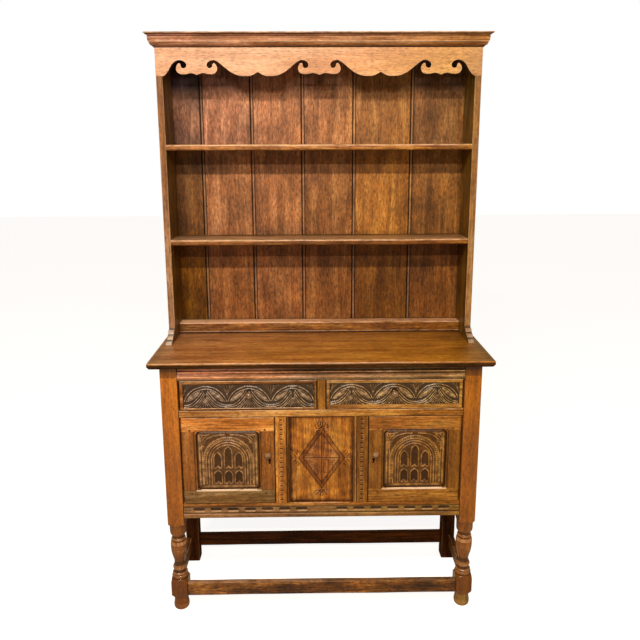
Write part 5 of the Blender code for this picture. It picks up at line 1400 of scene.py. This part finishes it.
def make_centre_panel():
    """A board with a carved lozenge: a punched border, a cross, hatched quarters and leaves at the tips."""
    low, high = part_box("centre_panel")
    middle, top, foot, wide = 0.551, 0.660, 0.444, 0.0745

    def lozenge(share):
        return [(a * share, middle + (b - middle) * share)
                for a, b in ((0.0, top), (wide, middle), (0.0, foot), (-wide, middle), (0.0, top))]

    def inside(x, z):
        """How far out of the lozenge's middle a point is: 1 on its outer edge."""
        return np.abs(x) / wide + np.abs(z - middle) / np.where(z > middle, top - middle, middle - foot)

    def heights(x, z):
        cut = np.zeros(x.shape)
        raised = np.zeros(x.shape)

        def line(points, width, depth):
            nonlocal cut
            cut = np.maximum(cut, ridge(x, z, points, width, depth))

        def rib(points, width, height):
            nonlocal raised
            raised = np.maximum(raised, ridge(x, z, points, width, height))

        share = inside(x, z)
        border = (share < 0.97) & (share > 0.83)
        cut[border] = 0.0010 + 0.0004 * np.sin(x[border] * 900) * np.sin(z[border] * 900)
        cut[share < 0.76] = 0.0005
        line(lozenge(1.0), 0.0044, 0.0018)
        line(lozenge(0.80), 0.0044, 0.0018)
        line([(0, 0.640), (0, 0.462)], 0.0046, 0.0020)
        line([(-0.060, middle), (0.060, middle)], 0.0042, 0.0019)
        for sign in (-1, 1):
            line([(sign * 0.098, middle), (sign * wide, middle)], 0.0034, 0.0017)
        # Hatching beside the border, and rounded tablets on the right of the upright
        for i in range(8):
            along = 0.10 + i * 0.11
            for sign, up in ((-1, 1), (-1, -1), (1, 1), (1, -1)):
                reach = (top - middle) if up > 0 else (middle - foot)
                edge_x, edge_z = sign * wide * 0.74 * (1 - along), up * reach * 0.74 * along
                if sign > 0 and abs(edge_x) < 0.034:
                    continue
                line([(edge_x, middle + edge_z), (edge_x * 0.62, middle + edge_z * 0.62 + up * 0.006)],
                     0.0028, 0.0014)
                rib([(edge_x * 0.96, middle + edge_z + up * 0.0032),
                     (edge_x * 0.6, middle + edge_z * 0.62 + up * 0.0092)], 0.0026, 0.0004)
        for start, head in ((middle + 0.007, middle + 0.052), (middle - 0.052, middle - 0.007)):
            line([(0.006, start), (0.006, head), (0.022, head), (0.022, start), (0.006, start)],
                 0.0028, 0.0016)
            rib([(0.014, start + 0.006), (0.014, head - 0.006)], 0.0110, 0.0006)
        # Leaves round a bud at the tips
        for sign in (-1, 1):
            for points in (
                [(0.001, 0.656), (0.004, 0.667), (0.002, 0.678)],
                [(0.004, 0.656), (0.011, 0.663), (0.013, 0.672), (0.007, 0.680)],
                [(0.006, 0.652), (0.016, 0.654), (0.021, 0.660), (0.019, 0.668)],
                [(0.004, 0.646), (0.013, 0.646), (0.018, 0.641)],
                [(0.003, 0.441), (0.010, 0.436), (0.021, 0.437)],
                [(0.003, 0.436), (0.012, 0.429), (0.018, 0.422)],
                [(0.002, 0.432), (0.005, 0.424), (0.002, 0.417)],
            ):
                line([(sign * a, b) for a, b in flowing(points, 4)], 0.0036, 0.0020)
                rib([(sign * (a + 0.0026), b + 0.0020) for a, b in points], 0.0032, 0.0004)
            for a, b, lean in ((0.078, 0.563, 0.0082), (0.073, 0.571, 0.0064), (0.084, 0.556, 0.0092),
                               (0.078, 0.539, -0.0082), (0.073, 0.531, -0.0064), (0.084, 0.546, -0.0090)):
                line([(sign * a, b), (sign * (a + 0.006), b + lean)], 0.0036, 0.0020)
        return np.where(cut > 0.0002, -cut, raised)

    piece = relief_mesh("centre_panel_board", low.x, high.x, low.z, high.z, heights, low.y, high.y, 0.0012)
    mesh = piece.data
    rise = np.zeros(len(mesh.vertices))
    mesh.attributes["rise"].data.foreach_get("value", rise)
    rise[rise > REAR_RISE - 0.0005] = 0.0
    # Raised ribs are paler, rubbed and a painted highlight; the cuts are darker, old polish and painted shade.
    light_and_wear = np.where(rise > 0.0001, rise / 0.0012, np.clip((rise + 0.0008) / 0.0007, -0.95, 0))
    mesh.attributes.new("wear_and_light", "FLOAT", "POINT").data.foreach_set("value", light_and_wear)

    # Darker near the edges of the opening, dirt and painted shade by the muntins and rails; the punched border
    # darker, the middle duller, and a flame figure across the board.
    def tone(x, y, z):
        near = np.minimum(0.1 - np.abs(x), np.minimum(z - BAY[0], BAY[1] - z))
        dark = np.where(x < 0, 0.72, 0.54) * (1 - between(near, 0.001, 0.013))
        share = inside(x, z)
        border = (share < 0.985) & (share > 0.80)
        dark = dark + 0.25 * between(0.403 - z, -0.010, 0.0) + 0.34 * border
        dull = 0.13 * (share <= 0.80)
        flame = 0.20 * np.sin(x * 60 + 9 * np.sin(z * 21) + z * 34) * np.sin(z * 43 + 2)
        return (flame - dark - 0.04 - dull + 0.10 * border, flame - dark - 0.10 - dull,
                flame * 0.6 - dark * 0.8 - 0.24 + 3 * dull)

    dress(piece, "centre_panel_board", "cabinet", finish("honey", "z"), "centre_panel",
          smooth=80, tone=tone)


def make_cad_finishes():
    """Parts that keep their CAD shape get their real finish."""
    table = {
        "end_panel": finish("brown", "z"), "rack_top_board": finish("boards", "x"),
        "base_back": finish("raw", "z"), "cupboard_floor": finish("raw", "x"),
        "drawer_runner": finish("raw", "y"), "drawer_bottom": finish("raw", "y"), "drawer_box": finish("raw", "x"),
        "door_lock": finishes["iron"], "lock_bolt": finishes["iron"], "door_pin": finishes["iron"],
    }
    for name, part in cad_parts.items():
        for start, material in table.items():
            if name.startswith(start):
                part.data.materials.clear()
                part.data.materials.append(material)


# Plate rack

def make_rack_sides():
    """The sides are painted dark within as shade, rubbed pale along the front, and end in feet of three lobes."""
    low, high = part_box("rack_side_left")
    front, foot, ease = RACK_FRONT, low.z, 0.0014
    reach, lobe = 0.062 / 3, 0.041 / 3
    notch = FRIEZE_FOOT - CLEAR

    def outline(back):
        start = front - 0.062
        points = [(back, foot), (start, foot)]
        for i in range(3):
            corner = (start + (i + 1) * 0.062 / 3, foot + i * lobe)
            points += arc(corner, (reach, lobe - 0.0016), 180, 90, 10)[1:]
            points.append((corner[0], corner[1] + lobe))
        points += [(front, foot + up) for up in (0.044, 0.048, *[0.06 + i * 0.09 for i in range(9)])]
        points += [(front, notch), (0.063 + CLEAR, notch), (0.063 + CLEAR, high.z), (back, high.z)]
        return points

    within, whole = outline(BOARD_FRONT - CLEAR), outline(high.y)
    for side, word in SIDES:
        shapes = ((RACK_IN, inset(within, ease)), (RACK_IN + ease, within), (RACK_IN + 0.0100, within),
                  (RACK_IN + 0.0101, whole), (RACK_OUT - ease, whole), (RACK_OUT, inset(whole, ease)))
        bm = loft([[(side * x, y, z) for y, z in shape] for x, shape in shapes], rows=(0, 4))

        def light_and_wear(centre, normal, wear_and_light):
            """The lobes of the foot are paler, a painted highlight, with painted shade between them and just above
            them. The front is rubbed less higher up.
            """
            if normal.x * side < -0.9 or centre.y > 0.08:
                return 0.0
            if centre.z < foot + 0.041 and centre.y < front + 0.002:
                return 0.6 if (centre.z - foot) % lobe / lobe < 0.80 else -0.6
            if centre.z < foot + 0.0445:
                return -0.5
            return wear_and_light and 0.8 - 0.3 * between(centre.z, 1.0, 1.5)

        mark_faces(bm, light_and_wear)
        for face in bm.faces:
            centre = face.calc_center_median()
            rim = abs(face.normal.x) < 0.9 and (centre.y < front + 0.003 or centre.z < foot + 0.043)
            face.material_index = 1 if rim and centre.y < 0.08 else 0

        def tone(x, y, z):
            """Paler and pinker above; paler at the feet, a painted highlight; the inner faces are painted dark as
            shade.
            """
            higher = between(z, 1.0, 1.7)
            pale = (1 - between(z, foot + 0.036, foot + 0.042)) * (y < front + 0.03)
            feet, base, up = ((0.37, 1.45, 2.9), (0.11, 0.10, 0.21), (0.07, 0.19, 0.38)) if side < 0 else (
                (-0.36, -0.08, 0.80), (0.10, 0.12, 0.05), (0.09, 0.12, 0.21))
            own = [a * pale - b - c * higher for a, b, c in zip(feet, base, up)]
            rim = y < front + 0.0005 + 0.03 * pale
            inner = abs(x) < RACK_IN + 0.0003
            plain = (0.05, 0.05, 0.25 * higher)
            # The inner faces are painted dark as shade.
            inner_shade = (-0.24, 0.10, -0.36)
            return [np.where(inner, dim, np.where(rim, a, b)) for dim, a, b in zip(inner_shade, own, plain)]

        materials = [finish("brown", "z"), finish("rim", "z")]
        make(f"rack_side_board_{word}", bm, materials, f"rack_side_{word}", tone=tone)


def make_shelves():
    """Boards with a rounded front, rubbed above, and a groove near the back that stops the plates."""
    reach = RACK_IN - CLEAR
    back = BOARD_FRONT - CLEAR
    soft = 0.0048
    for which, top in zip(("lower", "upper"), SHELF_TOPS):
        bottom = top - 0.019
        outline = [(back, bottom), (RACK_FRONT + soft, bottom)]
        outline += arc((RACK_FRONT + soft, bottom + soft), (soft, soft), 270, 180, 5)[1:]
        outline += arc((RACK_FRONT + soft, top - soft), (soft, soft), 180, 90, 5)
        outline += [(back - 0.033, top), (back - 0.030, top - 0.0025), (back - 0.027, top), (back, top)]
        bm = bar(outline, "x", -reach, reach, 0, cuts=28, uneven=0.0009, seed=top * 3)

        # The rounded front is pale above and painted dark as shade below; the top is paler in front of the groove,
        # and painted dark as shade in the groove and behind it.
        def light_and_wear(centre, normal, wear_and_light):
            if centre.y < 0.0525 and centre.z > top - 0.0055:
                return 0.95
            if centre.y < 0.0535 and centre.z < bottom + 0.004:
                return -0.4
            if centre.y > 0.055 and centre.z > top - 0.003:
                return 0.55 if centre.y < back - 0.034 else -0.7
            return wear_and_light

        def tone(x, y, z):
            """Dusty on top; the front of the upper shelf is rubbed paler."""
            dusty = 0.28 * (z > top - 0.003)
            front = 0.40 * (1 - between(y, 0.052, 0.058)) if which == "upper" else 0.0
            red, green, blue = 1.2 * dusty + 0.8 * front, 4.2 * dusty + front, 8.0 * dusty + 1.8 * front
            return 0.12 + red, 0.12 + green, 0.12 + blue

        mark_faces(bm, light_and_wear)
        make(f"shelf_board_{which}", bm, finish("brown", "x"), f"rack_shelf_{which}", 40, tone)


def make_rack_rail():
    """The low rail at the back of the worktop, with a step down its face and painted shade at its foot."""
    reach = RACK_IN - CLEAR
    low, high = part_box("rack_bottom_rail")
    back, front, slope = high.y, low.y + 0.0025, 0.0025
    step = low.z + 0.0055
    outline = [(back, low.z), (front - slope, low.z), (front - slope, low.z + 0.003), (front - slope, step)]
    outline += [(front, step + slope), (front, high.z - slope), (front + slope, high.z)]
    outline += [(front + 0.035, high.z), (back - 0.010, high.z), (back, high.z)]
    bm = bar(outline, "x", -reach, reach, 0.0010, cuts=20, uneven=0.0004, seed=9)

    # The top is pale, more so to the left, and darker at its back by the boards; the foot is painted dark as
    # shade.
    def light_and_wear(centre, normal, wear_and_light):
        if centre.z > high.z - 0.004:
            return (1.5 if centre.x < 0 else 0.9) if centre.y < back - 0.008 else -0.8
        if step - 0.0012 < centre.z < step + 0.0030:
            return 0.30
        return -0.9 if centre.z < low.z + 0.004 else wear_and_light

    def tone(x, y, z):
        """Rubbed pale on top and pinker to the left, with painted shade along the foot and at the left end, in the
        shadow of the side board.
        """
        top = between(z, high.z - 0.0026, high.z - 0.0004)
        foot_shade = 0.20 * (1 - between(z, low.z + 0.005, low.z + 0.012))
        left = between(-x, -0.05, 0.15)
        end = 0.45 * (1 - between(x, -0.49, -0.42))
        red, green = (0.85 + 1.1 * left) * top + 0.09, (1.25 + 2.5 * left) * top + 0.13
        blue = (1.9 + 6.0 * left) * top
        return red - foot_shade - end, green - foot_shade - end, blue - 0.6 * end

    mark_faces(bm, light_and_wear)
    make("rack_bottom_rail_bar", bm, finish("brown", "x"), "rack_bottom_rail", tone=tone)


def make_backboards():
    """Six boards of different widths, each with a bead down its right edge in a dark quirk."""
    # Width, how much paler above, between and below the shelves, and how much bluer; the paler, pinker upper bay
    # is partly a painted haze of light
    boards = (
        (0.1015, (-0.25, -0.31, -0.29), -0.28), (0.1725, (0.39, 0.14, -0.10), 0.48),
        (0.175, (0.78, 0.28, -0.07), 0.72), (0.178, (0.56, 0.12, -0.10), 0.60),
        (0.200, (0.34, 0.42, -0.36), 0.22), (0.173, (0.04, -0.11, -0.28), 0.62),
    )
    total = sum(share for share, _, _ in boards)
    left = -RACK_IN
    front, rear = BOARD_FRONT, RACK_BACK
    housed = 0.0097          # the outer boards go this far into the sides
    for number, (share, own, cool) in enumerate(boards, 1):
        right = left + 2 * RACK_IN * share / total
        x0 = left - housed if number == 1 else left
        outline = [(x0, rear), (x0, front)]
        if number > 1:
            outline.append((x0 + 0.0022, front))
        outline.append((left + 0.030, front))
        if number < len(boards):
            bead_x = right - 0.0042
            outline += [(bead_x - 0.026, front), (bead_x - 0.0072, front), (bead_x - 0.0048, front + 0.0030)]
            outline += arc((bead_x, front + 0.0022), (0.0036, 0.0022), 180, 360, 10)
            outline += [(right, front + 0.006), (right, rear)]
        else:
            outline += [(right - 0.045, front), (right + housed, front), (right + housed, rear)]
        bm = bar(outline, "z", 0.8948, 1.8860, 0.0008, cuts=66)

        def light_and_wear(centre, normal, wear_and_light):
            if centre.y <= front + 0.004:
                if number < len(boards) and centre.x > right - 0.0125:
                    return -0.9 if centre.x < right - 0.0072 or centre.x > right - 0.0014 else 0.5
                if number > 1 and centre.x < left + 0.0020:
                    return -0.8
            return 0.0

        def tone(x, y, z):
            """Paler and pinker above, partly a painted haze of light; browner below; painted shade in the corners
            over each shelf, near the sides and at the top under the frieze.
            """
            lower, upper = [between(z, shelf - 0.01, shelf + 0.01) for shelf in SHELF_TOPS]
            lower = 1 - lower
            mid = (1 - upper) * (1 - lower)
            light = own[0] * upper + own[1] * mid + own[2] * lower
            for shelf in SHELF_TOPS:
                light = light - 0.12 * np.clip(1 - np.abs(z - shelf - 0.012) / 0.03, 0, 1)
            light = light - 0.22 * between(np.abs(x), RACK_IN - 0.045, RACK_IN)
            light = light - 0.47 * between(z, 1.715, 1.735)
            pink = between(-x, -0.20, 0.10)
            light = light + 0.10 * np.sin(z * 17 + number * 2.3) * np.sin(z * 41 + x * 30 + number)
            blue = (0.50 + 0.80 * pink) * upper + (0.35 * pink - 0.10) * mid - 0.34 * lower + cool
            return light, light + 0.06 * upper - 0.06 * lower, light + blue

        mark_faces(bm, light_and_wear)
        wood = finish("boards", "z")
        make(f"back_board_{number}", bm, wood, f"rack_backboard_{number}", 40, tone)
        left = right


def scroll_hook(steep):
    """One scroll of the frieze with its round end at the origin: the opening curls over to the right."""
    if steep:
        start = [(-0.0474, -0.0158), (-0.0380, 0.0000), (-0.0288, 0.0093), (-0.0172, 0.0145)]
    else:
        start = [(-0.0465, -0.0070), (-0.0372, 0.0009), (-0.0300, 0.0066), (-0.0233, 0.0110), (-0.0150, 0.0146)]
    over = flowing([
        *start, (-0.0060, 0.0140), (0.0035, 0.0098), (0.0086, 0.0030), (0.0084, -0.0040), (0.0040, -0.0088),
        (-0.0030, -0.0092), (-0.0080, -0.0050), (-0.0090, 0.0010),
    ], 4)
    lobe = flowing([
        (-0.0090, 0.0010), (-0.0110, 0.0046), (-0.0152, 0.0052), (-0.0203, -0.0002), (-0.0235, -0.0095),
        (-0.0215, -0.0185), (-0.0150, -0.0250), (-0.0060, -0.0275),
    ], 5)
    return over + lobe[1:]


def make_frieze():
    """A pierced board: pairs of scrolls with a wavy tongue between them, and swags with a middle cusp."""
    low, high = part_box("rack_frieze")
    rise, clear, shoulder = 0.0335, 0.0008, 1.800
    eye_z = FRIEZE_FOOT + rise
    first = -RACK_IN + 0.0675
    second = first + 0.082
    third = -0.0435
    run = (third - second) / 2

    def placed(points, x):
        return [(x + a, eye_z + b) for a, b in points]

    def mirrored(points):
        return [(-a, b) for a, b in reversed(points)]

    def tongue(width):
        return flowing([
            (0.0078, -0.0270), (width * 0.26, -0.0240), (width * 0.39, -0.0262), (width * 0.5, -0.0295),
        ], 5)

    half = tongue(0.082)
    swag = flowing([
        (0.0550, -0.0135), (0.068, -0.0225), (0.088, -0.0310), (run * 0.72, -rise),
        (run * 0.86, -rise * 0.95), (run, -rise + 0.0125),
    ], 5)
    edge = [(low.x, eye_z - rise), (-RACK_IN, eye_z - rise)]
    rising = flowing([(-0.0655, -rise), (-0.0570, -0.0275), (-0.0505, -0.0200)], 4)
    edge += placed(rising + scroll_hook(True), first)
    for points, x in (
        (half, first), (mirrored(half)[1:], second), (mirrored(scroll_hook(False)), second), (swag, second),
        (mirrored(swag)[1:], third), (scroll_hook(False), third), (tongue(0.087), third),
    ):
        edge += placed(points, x)
    bottom = edge.pop()
    outline = [*edge, (0.0, bottom[1]), *mirrored(edge)]
    outline += [(high.x, shoulder), (high.x, high.z), (low.x, high.z), (low.x, shoulder)]

    # The front arris of the sawn edge is rounded over 1 mm.
    small = inset(outline, clear)
    keep = len(outline) - 4
    small[keep:] = outline[keep:]
    small[0], small[keep - 1] = outline[0], outline[keep - 1]
    between_them = [((a + c * 2) / 3, (b + d * 2) / 3) for (a, b), (c, d) in zip(small, outline)]
    bm = loft([[(x, y, z) for x, z in shape] for y, shape in (
        (low.y, small), (low.y + clear * 0.3, between_them), (low.y + clear, outline), (high.y, outline),
    )])
    # The rounded front arris is pale, a painted highlight; the sawn faces of the openings are painted dark as
    # shade.
    layer = marks_layer(bm)
    for face in bm.faces:
        centre = face.calc_center_median()
        if len(face.verts) == 4 and 1.75 < centre.z < 1.82:
            face[layer] = 0.9 if centre.y < low.y + clear else -0.75

    def tone(x, y, z):
        centre = 1 - between(abs(x), 0.0, 0.45)
        end = 0.14 * between(x, 0.42, 0.47)
        return -0.07 * centre - 0.02 - end, -0.04 - 0.20 * centre - end, -0.12 - 0.18 * centre + end

    make("pierced_frieze", bm, finish("frieze", "x"), "rack_frieze", 20, tone)


def cornice_profile():
    """How far the cornice stands out, and the height, from the foot of the cove to the top."""
    height, proud = 0.0425, 0.0270
    cove = height * 0.34
    profile = [(0.0003, 0), (proud * 0.10, 0), (proud * 0.14, height * 0.04)]
    profile += arc((proud * 0.14, cove), (proud * 0.36, height * 0.26), 270, 360, 10)[1:]
    profile += [(proud * 0.55, cove), (proud * 0.60, height * 0.40), (proud * 0.62, height * 0.48)]
    profile += [(proud * 0.66, height * 0.72), (proud * 0.60, height * 0.75)]
    profile += arc((proud * 0.96, height * 0.75), (proud * 0.30, height * 0.16), 180, 100, 10)[1:]
    profile += [(proud, height * 0.92), (proud, height * 0.97), (proud * 0.96, height), (0.0003, height)]
    return profile


def make_cornice():
    """Painted shade on the flare above, which is also streaky; a rubbed band below that, with painted light; and a
    cove painted dark as shade between two quirks painted dark as shade.
    """
    across, deep = 24, 4
    rings = []
    for proud, height in cornice_profile():
        x = RACK_OUT + proud
        y = 0.048 - proud
        z = CORNICE_FOOT + height
        rings.append([*[(-x, RACK_BACK + (y - RACK_BACK) * i / deep, z) for i in range(deep)],
                      *[(-x + 2 * x * i / across, y, z) for i in range(across + 1)],
                      *[(x, y + (RACK_BACK - y) * i / deep, z) for i in range(1, deep + 1)]])
    bm = bmesh.new()
    layer = marks_layer(bm)
    made = [[bm.verts.new(p) for p in ring] for ring in rings]
    count = len(made)
    for i in range(count):
        j = (i + 1) % count
        height = (rings[i][0][2] + rings[j][0][2]) / 2 - CORNICE_FOOT
        # The band over the cove and the top fillet are pale, rubbed and painted light; the quirks are painted dark
        # as shade.
        level = 0.0
        if 0.0140 < height < 0.0180 or height > 0.0400:
            level = 0.75
        elif height < 0.0026 or 0.0300 < height < 0.0322:
            level = -0.95
        for k in range(len(made[0]) - 1):
            face = bm.faces.new((made[i][k], made[i][k + 1], made[j][k + 1], made[j][k]))
            face[layer] = level
            face.material_index = 1 if k < deep or k >= deep + across else 0
    for end in (0, -1):
        bm.faces.new([ring[end] for ring in made])

    def tone(x, y, z):
        height = z - CORNICE_FOOT
        flare = between(height, 0.0300, 0.0330)
        cove = 1 - between(height, 0.0125, 0.0150)
        left = between(-x, -0.1, 0.5)
        dark = 0.42 * flare + 0.22 * cove + 0.40 * (1 - between(height, 0.0015, 0.0045))
        light = 0.08 * (1 - flare) * (1 - cove)
        red, green = light - dark + 0.04 * left * flare, light - dark * 1.06 - 0.02 * flare
        return red, green, 0.24 + 3 * light - dark * 1.2

    materials = [finish("cornice", "x"), finish("cornice", "y")]
    make("cornice_moulding", bm, materials, "rack_cornice", 40, tone)


carved_drawer = carved_oak("carved_drawer_oak", "x", "#3E2A18", "#8B6A49", "#DCBC96", 0.0026, 0.25, 0.45)
carved_panel = carved_oak("carved_panel_oak", "z", "#3E260E", "#8C5E32", "#C4965E", 0.0054, 0.32, 0.25)

set_camera()
set_light()
make_floor()
make_worktop()
for side, word in SIDES:
    make_front_leg(side, word)
    make_rear_leg(side, word)
    make_drawer(side, word)
    make_door(side, word)
for step in (
    make_centre_panel, make_stretchers, make_rails, make_bottom_moulding, make_muntins, make_rack_sides,
    make_shelves, make_rack_rail, make_backboards, make_frieze, make_cornice, make_cad_finishes,
):
    step()
